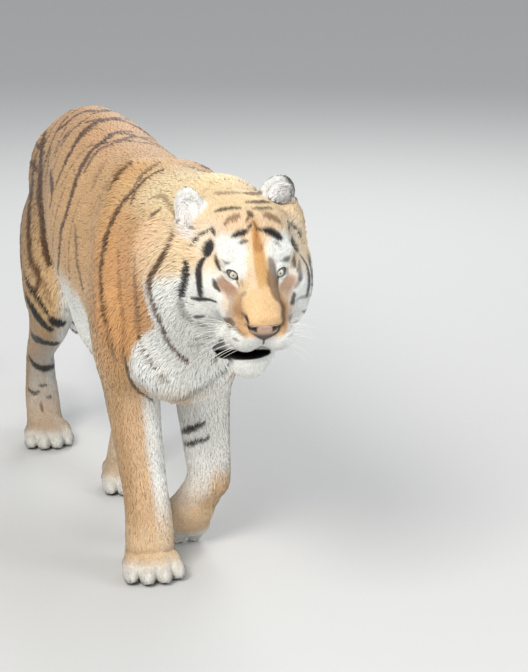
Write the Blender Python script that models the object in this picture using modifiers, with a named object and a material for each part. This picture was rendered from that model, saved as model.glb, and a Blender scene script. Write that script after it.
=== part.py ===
"""Walking Amur tiger, a still life-size figure.

Frame: metres, +Z up, the tiger faces -Y, its left side is +X, the floor is Z = 0.
It is shaped with Y = 0 behind the shoulders, then moved so that the origin is on the floor
under the middle of its length.
The body is a set of soft masses (balls and limbs of oval section) blended into one skin
line at the tips of the coat, then parted by thin straight cuts into named lengths.
"""
import bpy
import bmesh
import math
import numpy as np
from mathutils import Matrix, Vector

# ---------------------------------------------------------------- named sizes, metres
WITHERS = 0.972          # height of the back line over the shoulders
LOIN = 0.982             # height of the back line over the hips
NAPE = 1.000             # height of the neck crest
BRISKET = 0.430          # lowest line of the chest
SHOULDER_Y = -0.36       # fore-and-aft place of the shoulders
HIP_Y = 0.50             # fore-and-aft place of the hips
RIB_HALF_WIDTH = 0.206
EYE_APART = 0.0455       # eye centre from the middle of the face
EYE_RADIUS = 0.0175
HEAD_AT = (0.0485, -0.935, 0.845)   # point midway between the eyes
HEAD_YAW, HEAD_PITCH = -7.5, 12.0   # degrees
FORE_PAW_AT = (-0.086, -0.462)      # right fore paw, middle of the sole
HIND_PAW_AT = (-0.136, 0.600)       # right hind paw
REACH_PAW_AT = (-0.010, 0.165)      # left hind paw, reaching under the belly
WRIST_AT = (0.088, -0.342, 0.180)   # bent left wrist
HANG = (-0.100, 0.060, -0.195)      # way the left fore paw hangs
TAIL_RADIUS = 0.036
SOLE = -0.007                       # depth by which soft soles press flat on the floor
MIDDLE_Y = 0.1335                   # middle of the length, nose to tail, which ends up over the origin
GAP = 0.0003                        # clearance at every cut
VOXEL = 0.0125
FACES = 5300


# ---------------------------------------------------------------- small helpers
def vec(*a):
    return np.array(a, float)


def unit(v):
    return v / np.linalg.norm(v)


def turn(yaw=0.0, pitch=0.0, roll=0.0):
    y, p, r = (math.radians(a) for a in (yaw, pitch, roll))
    rz = np.array([[math.cos(y), -math.sin(y), 0], [math.sin(y), math.cos(y), 0], [0, 0, 1]])
    rx = np.array([[1, 0, 0], [0, math.cos(p), -math.sin(p)], [0, math.sin(p), math.cos(p)]])
    ry = np.array([[math.cos(r), 0, math.sin(r)], [0, 1, 0], [-math.sin(r), 0, math.cos(r)]])
    return rz @ rx @ ry


def foot_turn(down, front):
    """Turn of a foot whose toes point along `down` and whose upper face looks along `front`."""
    ey = -unit(vec(*down))
    f = vec(*front)
    ez = unit(f - (f @ ey) * ey)
    return np.stack([np.cross(ey, ez), ey, ez], 1)


def curve(stations, step):
    p = np.array(stations, float)
    if len(p) == 2:
        n = max(2, int(np.linalg.norm(p[1, :3] - p[0, :3]) / step) + 1)
        return np.array([p[0] + (p[1] - p[0]) * t for t in np.linspace(0, 1, n)])
    q = np.vstack([2 * p[0] - p[1], p, 2 * p[-1] - p[-2]])
    out = []
    for i in range(1, len(q) - 2):
        a, b, c, d = q[i - 1:i + 3]
        n = max(1, int(round(np.linalg.norm(c[:3] - b[:3]) / step)))
        for t in np.arange(n) / n:
            out.append(0.5 * (2 * b + (c - a) * t + (2 * a - 5 * b + 4 * c - d) * t * t + (3 * b - a - 3 * c + d) * t ** 3))
    out.append(p[-1])
    return np.array(out)


def soft_min(a, b, k):
    h = np.maximum(k - np.abs(a - b), 0.0) / k
    return np.minimum(a, b) - h * h * k * 0.25


# ---------------------------------------------------------------- masses
class Ball:
    def __init__(self, centre, radii, rot=None, soft=0.03):
        self.c, self.r = np.array(centre, float), np.array(radii, float)
        self.m = np.eye(3) if rot is None else rot
        self.soft = soft
        e = np.sqrt(((self.m * self.r) ** 2).sum(1))
        self.lo, self.hi = self.c - e, self.c + e

    def dist(self, p):
        q = (p - self.c) @ self.m
        a = np.sqrt(((q / self.r) ** 2).sum(-1))
        return a * (a - 1) / (np.sqrt(((q / self.r ** 2) ** 2).sum(-1)) + 1e-9)

    def build(self, bm):
        t = Matrix.Translation(self.c.tolist()) @ Matrix((self.m * self.r).tolist()).to_4x4()
        bmesh.ops.create_icosphere(bm, subdivisions=3, radius=1.0, matrix=t)


class Limb:
    """Stations are (x, y, z, side radius, other radius)."""

    def __init__(self, stations, soft=0.035, side=(1, 0, 0), step=0.03, rot=None, at=None):
        p = curve(stations, step)
        side = np.array(side, float)
        if rot is not None:
            p = p.copy()
            p[:, :3] = p[:, :3] @ rot.T + at
            side = rot @ side
        self.p, self.soft, self.side = p, soft, unit(side)
        r = np.maximum(p[:, 3], p[:, 4])[:, None]
        self.lo, self.hi = (p[:, :3] - r).min(0), (p[:, :3] + r).max(0)

    def frames(self, d):
        e3 = unit(d)
        e1 = unit(self.side - (self.side @ e3) * e3)
        return e1, np.cross(e3, e1), e3

    def dist(self, x):
        best = np.full(x.shape[:-1], 1e3)
        for a, b in zip(self.p[:-1], self.p[1:]):
            ab = b[:3] - a[:3]
            t = np.clip(((x - a[:3]) @ ab) / (ab @ ab), 0, 1)
            q = x - (a[:3] + t[..., None] * ab)
            e1, e2, e3 = self.frames(ab)
            r1 = a[3] + (b[3] - a[3]) * t
            r2 = a[4] + (b[4] - a[4]) * t
            r3 = np.minimum(r1, r2)
            u, v, w = q @ e1, q @ e2, q @ e3
            k0 = np.sqrt((u / r1) ** 2 + (v / r2) ** 2 + (w / r3) ** 2)
            k1 = np.sqrt((u / r1 ** 2) ** 2 + (v / r2 ** 2) ** 2 + (w / r3 ** 2) ** 2) + 1e-9
            best = np.minimum(best, k0 * (k0 - 1) / k1)
        return best

    def build(self, bm):
        n = 20
        rings = []
        for i, s in enumerate(self.p):
            d = self.p[min(i + 1, len(self.p) - 1), :3] - self.p[max(i - 1, 0), :3]
            e1, e2, e3 = self.frames(d)
            rings.append([bm.verts.new(s[:3] + e1 * s[3] * math.cos(a) + e2 * s[4] * math.sin(a))
                          for a in (2 * math.pi * j / n for j in range(n))])
        for r, q in zip(rings[:-1], rings[1:]):
            for j in range(n):
                bm.faces.new((r[j], r[(j + 1) % n], q[(j + 1) % n], q[j]))
        bm.faces.new(rings[0][::-1])
        bm.faces.new(rings[-1])
        for s, d in ((self.p[0], self.p[1, :3] - self.p[0, :3]), (self.p[-1], self.p[-1, :3] - self.p[-2, :3])):
            e1, e2, e3 = self.frames(d)
            m = np.stack([e1 * s[3], e2 * s[4], e3 * min(s[3], s[4])], 1)
            bmesh.ops.create_icosphere(bm, subdivisions=2, radius=1.0,
                                       matrix=Matrix.Translation(s[:3].tolist()) @ Matrix(m.tolist()).to_4x4())


# ---------------------------------------------------------------- the head
HEAD_TURN = turn(HEAD_YAW, HEAD_PITCH)


def in_head(x, y, z):
    return HEAD_TURN @ vec(x, y, z) + vec(*HEAD_AT)


def head_ball(c, r, soft=0.02, yaw=0, pitch=0, roll=0, both=False):
    return [Ball(in_head(c[0] * s, c[1], c[2]), r, HEAD_TURN @ turn(yaw * s, pitch, roll * s), soft)
            for s in ((1, -1) if both else (1,))]


def head_limb(stations, soft):
    return [Limb(stations, soft, (1, 0, 0), 0.02, HEAD_TURN, vec(*HEAD_AT))]


def head_masses():
    m = []
    m += head_ball((0, 0.120, 0.023), (0.102, 0.118, 0.097))                                   # cranium
    m += head_ball((0, 0.048, 0.026), (0.076, 0.062, 0.052), 0.03, pitch=20)                   # brow
    m += head_ball((0.056, 0.030, 0.026), (0.032, 0.030, 0.021), 0.02, both=True)              # brow ridges
    m += head_ball((0.076, 0.036, -0.004), (0.022, 0.030, 0.026), 0.02, both=True)             # outer orbits
    m += head_ball((0.074, 0.052, -0.034), (0.046, 0.066, 0.046), 0.03, yaw=12, both=True)     # cheekbones
    m += head_ball((0.040, -0.004, -0.064), (0.042, 0.072, 0.052), 0.03, yaw=8, both=True)     # upper jaw
    m += head_ball((0.076, 0.090, -0.085), (0.058, 0.085, 0.085), 0.04, yaw=8, both=True)      # cheeks
    m += head_ball((0.091, 0.125, -0.058), (0.054, 0.062, 0.096), 0.04, roll=-8, both=True)    # ruff
    m += head_ball((0.090, 0.152, 0.034), (0.040, 0.050, 0.052), 0.03)                         # below the left ear
    m += head_limb([(0, 0.030, 0.018, 0.044, 0.036), (0, -0.035, -0.006, 0.040, 0.034),
                    (0, -0.085, -0.034, 0.042, 0.032), (0, -0.116, -0.054, 0.040, 0.027)], 0.022)  # bridge of the nose
    m += head_ball((0, -0.058, -0.082), (0.058, 0.072, 0.046), 0.02, pitch=4)                  # muzzle
    m += head_ball((0.033, -0.090, -0.098), (0.037, 0.044, 0.037), 0.012, yaw=12, both=True)   # whisker pads
    m += head_ball((0.046, -0.042, -0.126), (0.026, 0.054, 0.033), 0.018, yaw=12, pitch=-20, both=True)  # lips
    m += head_limb([(-0.021, -0.072, -0.172, 0.040, 0.031), (-0.014, -0.030, -0.160, 0.059, 0.046),
                    (-0.005, 0.045, -0.150, 0.080, 0.054), (0, 0.120, -0.125, 0.090, 0.060)], 0.014)     # lower jaw
    m += head_ball((-0.023, -0.082, -0.177), (0.037, 0.028, 0.029), 0.012)                     # chin
    m += head_ball((-0.070, -0.040, -0.160), (0.024, 0.038, 0.017), 0.008, pitch=-12)           # hanging corner of the lips
    return m


EARS = {  # side: (centre, radii, yaw, roll, root centre)
    "ear_right": (-1, (0.122, 0.150, 0.080), (0.035, 0.018, 0.056), 20, 10, (0.094, 0.154, 0.048)),
    "ear_left": (1, (0.066, 0.162, 0.102), (0.047, 0.019, 0.047), 22, 20, (0.066, 0.156, 0.070)),
}


def ear_masses():
    m = []
    for s, c, r, yaw, roll, root in EARS.values():
        m.append(Ball(in_head(root[0] * s, root[1], root[2]), (0.042, 0.030, 0.040), HEAD_TURN @ turn(0, 0, 25 * s), 0.03))
        m.append(Ball(in_head(c[0] * s, c[1], c[2]), r, HEAD_TURN @ turn(yaw * s, 0, roll * s), 0.012))
    return m


# ---------------------------------------------------------------- trunk, neck, shoulders, haunches
def trunk_masses():
    rows = [  # y, back line, belly line, half width
        (-0.60, 0.860, 0.560, 0.100), (-0.52, 0.930, 0.475, 0.150), (-0.42, WITHERS - 0.007, 0.440, 0.172),
        (-0.30, WITHERS, BRISKET, 0.188), (-0.14, 0.960, 0.427, 0.202), (0.02, 0.958, 0.440, RIB_HALF_WIDTH),
        (0.16, 0.964, 0.470, 0.194), (0.29, 0.980, 0.510, 0.172), (0.41, LOIN, 0.550, 0.149),
        (0.53, 0.970, 0.605, 0.137), (0.63, 0.936, 0.660, 0.120), (0.70, 0.895, 0.720, 0.076)]
    m = [Limb([(0, y, (a + b) / 2, w, (a - b) / 2) for y, a, b, w in rows], 0.03, step=0.04)]
    m.append(Limb([(0.0, -0.36, 0.765, 0.160, 0.205), (0.008, -0.50, 0.775, 0.168, 0.205),
                   (0.018, -0.62, 0.800, 0.170, NAPE - 0.798), (0.030, -0.73, 0.832, 0.146, 0.185),
                   (0.042, -0.80, 0.850, 0.105, 0.155)], 0.05))                                # neck
    m.append(Ball((-0.01, -0.505, 0.575), (0.12, 0.11, 0.145), None, 0.05))                    # breast
    for s in (-1, 1):
        m.append(Limb([(s * 0.062, -0.30, 0.510, 0.088, 0.066), (s * 0.072, -0.12, 0.500, 0.094, 0.067), (s * 0.068, 0.06, 0.508, 0.088, 0.062),
                       (s * 0.054, 0.24, 0.545, 0.072, 0.054)], 0.05))
        top = 0.012 if s < 0 else -0.018
        m.append(Limb([(s * 0.075, SHOULDER_Y + 0.045, 0.915 + top, 0.050, 0.066), (s * 0.112, SHOULDER_Y - 0.040, 0.790, 0.070, 0.095),
                       (s * 0.128, SHOULDER_Y - 0.120, 0.670, 0.076, 0.090)], 0.05))           # shoulder blade
        m.append(Ball((s * 0.138, SHOULDER_Y - 0.010, 0.61), (0.057, 0.105, 0.140), turn(0, 18), 0.05))
        m.append(Limb([(s * 0.060, HIP_Y, 0.79, 0.072, 0.125), (s * 0.108, HIP_Y - 0.025, 0.68, 0.094, 0.165),
                       (s * 0.136, HIP_Y - 0.080, 0.57, 0.088, 0.135), (s * 0.148, HIP_Y - 0.155, 0.485, 0.070, 0.095)], 0.05))
        m.append(Ball((s * 0.075, HIP_Y + 0.12, 0.75), (0.080, 0.10, 0.13), None, 0.05))       # buttock
    return m


# ---------------------------------------------------------------- legs and feet
def foot(at, rot, narrow=1.0):
    """`at` is the middle of the sole, toes point to local -Y."""
    def ball(c, r, soft=0.02, yaw=0, pitch=0):
        return Ball(rot @ vec(*c) + at, r, rot @ turn(yaw, pitch), soft)
    m = [ball((0, 0.020, 0.050), (0.062 * narrow, 0.070, 0.044)), ball((0, -0.010, 0.040), (0.072 * narrow, 0.055, 0.036))]
    for s in (-1, 1):
        for x, y, a in ((0.054, -0.040, 10), (0.0195, -0.060, 3)):
            m.append(ball((s * x * narrow, y, 0.0285), (0.0235, 0.036, 0.0265), 0.008, yaw=s * a))
            m.append(ball((s * x * narrow * 0.92, y + 0.025, 0.046), (0.0215, 0.034, 0.024), 0.012, yaw=s * a, pitch=25))
    m.append(ball((0, 0.018, 0.022), (0.042 * narrow, 0.036, 0.022), 0.01))
    return m


def leg_masses():
    m = []
    # right foreleg, bearing weight
    m.append(Limb([(-0.128, -0.475, 0.640, 0.074, 0.090), (-0.117, -0.385, 0.520, 0.069, 0.085), (-0.100, -0.360, 0.440, 0.074, 0.076),
                   (-0.096, -0.385, 0.340, 0.066, 0.064), (-0.088, -0.410, 0.230, 0.060, 0.056), (-0.083, -0.432, 0.150, 0.058, 0.052),
                   (FORE_PAW_AT[0] + 0.001, -0.452, 0.075, 0.062, 0.048)]))
    m += foot(vec(*FORE_PAW_AT, SOLE), turn(-3))
    # left foreleg, wrist bent, toe tips on the floor
    m.append(Limb([(0.126, -0.465, 0.640, 0.075, 0.090), (0.106, -0.360, 0.515, 0.072, 0.088), (0.084, -0.330, 0.420, 0.074, 0.080),
                   (0.086, -0.334, 0.310, 0.066, 0.064), (0.094, -0.341, 0.186, 0.055, 0.054)]))
    rot = foot_turn(HANG, (0.10, -1, 0))
    wrist = vec(*WRIST_AT)
    m.append(Limb([tuple(wrist) + (0.052, 0.050), tuple(wrist + rot @ vec(0, -0.060, 0.002)) + (0.056, 0.042)], 0.02, side=rot[:, 0]))
    m += foot(wrist - rot @ vec(0, 0.112, 0.045), rot)
    # right hind leg, stretched back
    m.append(Limb([(-0.146, 0.360, 0.500, 0.074, 0.094), (-0.147, 0.425, 0.415, 0.062, 0.085), (-0.144, 0.524, 0.335, 0.050, 0.062),
                   (-0.142, 0.612, 0.270, 0.044, 0.050), (-0.140, 0.645, 0.200, 0.046, 0.044), (-0.139, 0.637, 0.120, 0.049, 0.042),
                   (-0.137, 0.625, 0.060, 0.052, 0.042)]))
    m.append(Limb([(-0.143, 0.624, 0.290, 0.030, 0.030), (-0.141, 0.652, 0.245, 0.034, 0.034)], 0.02))
    m += foot(vec(*HIND_PAW_AT, SOLE), turn(-3), 0.90)
    # left hind leg, reaching forward
    m.append(Limb([(0.146, 0.330, 0.510, 0.075, 0.100), (0.145, 0.290, 0.420, 0.062, 0.085), (0.120, 0.320, 0.335, 0.050, 0.062),
                   (0.090, 0.345, 0.265, 0.042, 0.050), (0.060, 0.325, 0.200, 0.044, 0.044), (0.020, 0.255, 0.110, 0.047, 0.042),
                   (0.003, 0.215, 0.060, 0.052, 0.042)]))
    m.append(Limb([(0.092, 0.355, 0.290, 0.030, 0.030), (0.080, 0.372, 0.245, 0.034, 0.034)], 0.02))
    m += foot(vec(*REACH_PAW_AT, SOLE), turn(2), 0.90)
    return m


def tail_masses():
    r = TAIL_RADIUS
    return [Limb([(0, 0.640, 0.870, 0.062, 0.058), (0, 0.735, 0.835, 0.048, 0.048), (0.002, 0.812, 0.735, 0.040, 0.040),
                  (0.006, 0.852, 0.590, r + 0.001, r + 0.001), (0.015, 0.885, 0.440, r, r), (0.03, 0.945, 0.310, r - 0.001, r - 0.001),
                  (0.05, 1.03, 0.225, r - 0.002, r - 0.002), (0.07, 1.13, 0.190, r - 0.003, r - 0.003),
                  (0.085, 1.235, 0.210, r - 0.006, r - 0.006), (0.09, 1.31, 0.270, r - 0.013, r - 0.013)], 0.04)]


def blended(masses, p):
    d = np.full(len(p), 1.0)
    for m in masses:
        pad = m.soft + 0.03
        near = np.nonzero(((p > m.lo - pad) & (p < m.hi + pad)).all(1))[0]
        if len(near):
            q = p[near]
            k = m.soft if m.soft <= 0.012 else np.clip(0.006 + (m.soft - 0.006) * (q[:, 2] - 0.36) / 0.10, 0.006, m.soft)
            d[near] = soft_min(d[near], m.dist(q), k)
    return d


def settle(masses, v, rounds=4, stride=0.004):
    """Moves points onto the blended skin line."""
    for _ in range(rounds):
        d = blended(masses, v)
        g = np.zeros_like(v)
        for a in range(3):
            w = v.copy()
            w[:, a] += 0.0008
            g[:, a] = (blended(masses, w) - d) / 0.0008
        s = -d[:, None] * g / np.maximum((g ** 2).sum(1), 0.2)[:, None]
        n = np.linalg.norm(s, axis=1)
        v = v + s * np.minimum(1, stride / np.maximum(n, 1e-9))[:, None]
    return v


# ---------------------------------------------------------------- scene
for o in list(bpy.data.objects):
    bpy.data.objects.remove(o, do_unlink=True)
for c in list(bpy.data.collections):
    bpy.data.collections.remove(c)
TIGER = bpy.data.collections.new("tiger")
CUTTERS = bpy.data.collections.new("cutters")
bpy.context.scene.collection.children.link(TIGER)
bpy.context.scene.collection.children.link(CUTTERS)

COLOURS = {"coat": (0.72, 0.46, 0.24), "pale": (0.80, 0.78, 0.72), "eye": (0.55, 0.55, 0.25), "nose": (0.45, 0.22, 0.18)}


def material(name, kind, rough=0.8):
    m = bpy.data.materials.new(name)
    m.use_nodes = True
    b = m.node_tree.nodes["Principled BSDF"]
    b.inputs["Base Color"].default_value = COLOURS[kind] + (1.0,)
    b.inputs["Roughness"].default_value = rough
    return m


def place(bm, name, collection):
    me = bpy.data.meshes.new(name)
    bm.to_mesh(me)
    bm.free()
    o = bpy.data.objects.new(name, me)
    collection.objects.link(o)
    return o


def cutter(bm, name):
    o = place(bm, name, CUTTERS)
    o.hide_render = True
    o.display_type = "WIRE"
    return o


def apply_modifiers(o):
    me = bpy.data.meshes.new_from_object(o.evaluated_get(bpy.context.evaluated_depsgraph_get()))
    old = o.data
    o.modifiers.clear()
    o.data = me
    bpy.data.meshes.remove(old)


def boolean(o, tool, operation):
    b = o.modifiers.new(tool.name, "BOOLEAN")
    b.operation = operation
    b.solver = "EXACT"
    b.object = tool
    apply_modifiers(o)


def largest_only(o):
    """Drops crumbs left at the rim of a cut."""
    bm = bmesh.new()
    bm.from_mesh(o.data)
    bmesh.ops.remove_doubles(bm, verts=bm.verts, dist=0.00005)
    bmesh.ops.dissolve_degenerate(bm, edges=bm.edges, dist=0.00002)
    left = set(bm.verts)
    groups = []
    while left:
        stack = [left.pop()]
        group = {stack[0]}
        while stack:
            for e in stack.pop().link_edges:
                for w in e.verts:
                    if w in left:
                        left.discard(w)
                        group.add(w)
                        stack.append(w)
        groups.append(group)
    groups.sort(key=len, reverse=True)
    for g in groups[1:]:
        bmesh.ops.delete(bm, geom=list(g), context="VERTS")
    bmesh.ops.recalc_face_normals(bm, faces=bm.faces)
    bm.to_mesh(o.data)
    bm.free()


def block(name, corners, grow):
    """Six-sided block from eight corners (x low/high, y low/high, z low/high, z fastest), grown outward."""
    c = np.array(corners, float)
    mid = c.mean(0)
    quads = [(0, 1, 3, 2), (4, 6, 7, 5), (0, 4, 5, 1), (2, 3, 7, 6), (0, 2, 6, 4), (1, 5, 7, 3)]
    planes = []
    for q in quads:
        n = unit(np.cross(c[q[1]] - c[q[0]], c[q[2]] - c[q[0]]))
        if n @ (c[q[0]] - mid) < 0:
            n = -n
        planes.append((n, n @ c[q[0]] + grow))
    out = []
    for i in range(8):
        trio = [planes[j] for j, q in enumerate(quads) if i in q]
        out.append(np.linalg.solve(np.array([t[0] for t in trio]), np.array([t[1] for t in trio])))
    bm = bmesh.new()
    vs = [bm.verts.new(p) for p in out]
    for q in quads:
        bm.faces.new([vs[i] for i in q])
    bmesh.ops.recalc_face_normals(bm, faces=bm.faces)
    return cutter(bm, name)


def span(x0, x1, y0, y1, z0, z1, lean=0.0, slope=0.0):
    """Corners of a block; `lean` pushes the tops of the -Y side back, `slope` the same for the +Y side."""
    return [(x, y + (lean if j == 0 else slope) * (z - z0), z)
            for x in (x0, x1) for j, y in enumerate((y0, y1)) for z in (z0, z1)]


# ---------------------------------------------------------------- the whole body in one skin
MASSES = trunk_masses() + leg_masses() + tail_masses() + head_masses() + ear_masses()
bm = bmesh.new()
for m in MASSES:
    m.build(bm)
whole = place(bm, "whole", CUTTERS)
r = whole.modifiers.new("one_skin", "REMESH")
r.mode = "VOXEL"
r.voxel_size = VOXEL
apply_modifiers(whole)
v = np.empty(len(whole.data.vertices) * 3)
whole.data.vertices.foreach_get("co", v)
v = settle(MASSES, v.reshape(-1, 3))
v[:, 2] = np.maximum(v[:, 2], 0.0)
whole.data.vertices.foreach_set("co", v.ravel())
whole.data.update()
d = whole.modifiers.new("fewer_faces", "DECIMATE")
d.ratio = FACES / sum(len(p.vertices) - 2 for p in whole.data.polygons)
apply_modifiers(whole)
v = np.empty(len(whole.data.vertices) * 3)
whole.data.vertices.foreach_get("co", v)
v = v.reshape(-1, 3)
v[v[:, 2] < 0.0012, 2] = 0.0
whole.data.vertices.foreach_set("co", v.ravel())
whole.data.update()

# mouth, a curved slit that runs down to the corners of the lips
bm = bmesh.new()
mouth = Ball(in_head(-0.045, -0.100, -0.1430), (0.074, 0.086, 0.0098), HEAD_TURN @ turn(0, -19, 0))
bmesh.ops.create_uvsphere(bm, u_segments=20, v_segments=6, radius=1.0,
                          matrix=Matrix.Translation(mouth.c.tolist()) @ Matrix((mouth.m * mouth.r).tolist()).to_4x4())
boolean(whole, cutter(bm, "mouth_slit"), "DIFFERENCE")


def parts_from(whole):
    """Carves each named block out of the body, leaving GAP all round."""
    tail_y = 0.745
    fy, hy = -0.70, -0.20
    cuts = [
        ("tail_tip", span(-0.3, 0.4, 1.045, 1.6, -0.1, 0.6)),
        ("tail_middle", span(-0.3, 0.4, tail_y, 1.6, -0.1, 0.520)),
        ("tail_root", span(-0.3, 0.4, tail_y, 1.6, -0.1, 1.2)),
        ("forepaw_right", span(-0.4, 0.030, fy, -0.368, -0.1, 0.135)),
        ("foreleg_right", span(-0.4, -0.016, fy, hy, 0.10, 0.425)),
        ("forepaw_left", [(x, y, z if z < 0 else z - 0.554 * (x - 0.076) + 0.18 * (y + 0.346)) for x, y, z in span(-0.12, 0.3, fy, hy, -0.1, 0.145)]),
        ("foreleg_left", span(-0.05, 0.4, fy, hy, -0.1, 0.425)),
        ("hindfoot_right", span(-0.4, -0.06, 0.45, 0.72, -0.1, 0.215)),
        ("hindleg_right", span(-0.4, -0.02, 0.20, 0.72, -0.1, 0.450)),
        ("hindfoot_left", span(-0.2, 0.4, 0.0, 0.50, -0.1, 0.215)),
        ("hindleg_left", span(-0.03, 0.4, 0.10, 0.60, -0.1, 0.450)),
        ("head", span(-0.4, 0.5, -1.3, -0.800, 0.50, 1.30, slope=0.13)),
        ("neck", span(-0.4, 0.5, -1.3, -0.640, 0.40, 1.30, slope=0.34)),
        ("chest", span(-0.4, 0.5, -1.3, -0.170, 0.30, 1.30)),
        ("barrel", span(-0.4, 0.5, -1.3, 0.235, 0.30, 1.30)),
    ]
    made = {}
    for name, corners in cuts:
        piece = whole.copy()
        piece.data = whole.data.copy()
        piece.name = name
        TIGER.objects.link(piece)
        boolean(piece, block(name + "_block", corners, 0.0), "INTERSECT")
        boolean(whole, block(name + "_room", corners, GAP), "DIFFERENCE")
        largest_only(piece)
        largest_only(whole)
        made[name] = piece
    whole.name = "haunches"
    CUTTERS.objects.unlink(whole)
    TIGER.objects.link(whole)
    made["haunches"] = whole
    return made


made = parts_from(whole)
head = made["head"]

# ears, parted from the head by a flat cut across the root
for name, (s, c, r, yaw, roll, root) in EARS.items():
    rot = HEAD_TURN @ turn(yaw * s, 0, roll * s)
    base = in_head(c[0] * s, c[1], c[2]) - rot @ vec(0, 0, r[2] * 0.26)
    ear = head.copy()
    ear.data = head.data.copy()
    ear.name = name
    TIGER.objects.link(ear)
    for o, grow, op in ((ear, 0.0, "INTERSECT"), (head, GAP, "DIFFERENCE")):
        half = vec(r[0] + 0.003, 0.034, 0.064)
        bm = bmesh.new()
        t = Matrix.Translation((base + rot @ vec(0, 0, half[2])).tolist()) @ Matrix((rot * (half + grow) * 2).tolist()).to_4x4()
        bmesh.ops.create_cube(bm, size=1.0, matrix=t)
        boolean(o, cutter(bm, name + ("_block" if grow == 0 else "_room")), op)
        largest_only(o)
    # hollow of the ear
    bm = bmesh.new()
    h = in_head(c[0] * s, c[1], c[2]) + rot @ vec(0, -r[1] * 1.25, r[2] * 0.12)
    t = Matrix.Translation(h.tolist()) @ Matrix((rot * vec(r[0] * 0.66, r[1] * 0.85, r[2] * 0.66)).tolist()).to_4x4()
    bmesh.ops.create_icosphere(bm, subdivisions=2, radius=1.0, matrix=t)
    boolean(ear, cutter(bm, name + "_hollow"), "DIFFERENCE")
    largest_only(ear)
    made[name] = ear

# eyes, balls in open sockets
for name, s in (("eye_right", -1), ("eye_left", 1)):
    at = in_head(s * EYE_APART, 0.002, 0.0)
    for grow in (0.0, GAP):
        bm = bmesh.new()
        bmesh.ops.create_uvsphere(bm, u_segments=14, v_segments=8, radius=EYE_RADIUS + grow, matrix=Matrix.Translation(at.tolist()))
        if grow:
            boolean(head, cutter(bm, name + "_socket"), "DIFFERENCE")
        else:
            made[name] = place(bm, name, TIGER)

# nose leather, a pad let into the tip of the muzzle
nose = Ball(in_head(0, -0.124, -0.062), (0.031, 0.020, 0.022), HEAD_TURN @ turn(0, 14, 0))
for grow in (0.0, GAP):
    bm = bmesh.new()
    t = Matrix.Translation(nose.c.tolist()) @ Matrix((nose.m * (nose.r + grow)).tolist()).to_4x4()
    bmesh.ops.create_uvsphere(bm, u_segments=14, v_segments=8, radius=1.0, matrix=t)
    if grow:
        boolean(head, cutter(bm, "nose_room"), "DIFFERENCE")
    else:
        made["nose"] = place(bm, "nose", TIGER)
largest_only(head)

for name, o in made.items():
    kind = "eye" if name.startswith("eye") else "nose" if name == "nose" else "pale" if name.startswith("ear") else "coat"
    o.data.materials.clear()
    o.data.materials.append(material(name + "_colour", kind, 0.2 if kind == "eye" else 0.8))
    o.data.name = name
    o.data.transform(Matrix.Translation((0, -MIDDLE_Y, 0)))
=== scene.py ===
"""A walking tiger, life size: one skin over the whole body, a coat of solid tufts that follows the lie of
the hair, and separate eyes, lids, nose leather and whiskers. Built in body coordinates, with the ground at
z = 0, the head towards -Y and Y = 0 behind the shoulders, then shifted into the frame of the solids."""
import math
import bpy
import numpy as np
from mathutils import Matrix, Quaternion, Vector
from mathutils.bvhtree import BVHTree


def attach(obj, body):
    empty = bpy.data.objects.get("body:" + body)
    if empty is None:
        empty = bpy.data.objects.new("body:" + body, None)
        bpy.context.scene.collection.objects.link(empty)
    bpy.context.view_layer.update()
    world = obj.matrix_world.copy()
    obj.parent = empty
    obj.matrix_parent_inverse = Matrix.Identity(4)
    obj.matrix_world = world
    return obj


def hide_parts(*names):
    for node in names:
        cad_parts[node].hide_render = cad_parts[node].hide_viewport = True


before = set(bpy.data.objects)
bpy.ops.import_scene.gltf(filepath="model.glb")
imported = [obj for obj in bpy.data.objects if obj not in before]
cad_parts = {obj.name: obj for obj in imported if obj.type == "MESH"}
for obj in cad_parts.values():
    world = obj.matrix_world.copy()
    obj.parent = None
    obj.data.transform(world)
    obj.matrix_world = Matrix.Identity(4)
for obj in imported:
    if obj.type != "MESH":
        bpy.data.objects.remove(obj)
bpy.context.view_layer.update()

# ---------------------------------------------------------------- named sizes, metres (as in the solids)
WITHERS, LOIN, NAPE, BRISKET = 0.972, 0.982, 1.000, 0.430
SHOULDER_Y, HIP_Y, RIB_HALF_WIDTH = -0.36, 0.50, 0.206
EYE_APART, EYE_RADIUS = 0.0455, 0.0175
HEAD_AT = (0.0485, -0.935, 0.845)
HEAD_YAW, HEAD_PITCH = -7.5, 12.0
FORE_PAW_AT, HIND_PAW_AT, REACH_PAW_AT = (-0.086, -0.462), (-0.136, 0.600), (-0.010, 0.165)
WRIST_AT, HANG = (0.088, -0.342, 0.180), (-0.100, 0.060, -0.195)
TAIL_RADIUS, SOLE, MIDDLE_Y = 0.036, -0.007, 0.1335


# ---------------------------------------------------------------- small helpers
def vec(*a):
    return np.array(a, float)


def unit(v):
    return v / np.maximum(np.linalg.norm(v, axis=-1, keepdims=True), 1e-12)


def step(x, a, b):
    """Smooth step from 0 at a to 1 at b."""
    t = np.clip((np.asarray(x, float) - a) / (b - a), 0.0, 1.0)
    return t * t * (3 - 2 * t)


def turn(yaw=0.0, pitch=0.0, roll=0.0):
    y, p, r = (math.radians(a) for a in (yaw, pitch, roll))
    rz = np.array([[math.cos(y), -math.sin(y), 0], [math.sin(y), math.cos(y), 0], [0, 0, 1]])
    rx = np.array([[1, 0, 0], [0, math.cos(p), -math.sin(p)], [0, math.sin(p), math.cos(p)]])
    ry = np.array([[math.cos(r), 0, math.sin(r)], [0, 1, 0], [-math.sin(r), 0, math.cos(r)]])
    return rz @ rx @ ry


def foot_turn(down, front):
    ey = -unit(vec(*down))
    f = vec(*front)
    ez = unit(f - (f @ ey) * ey)
    return np.stack([np.cross(ey, ez), ey, ez], 1)


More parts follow.
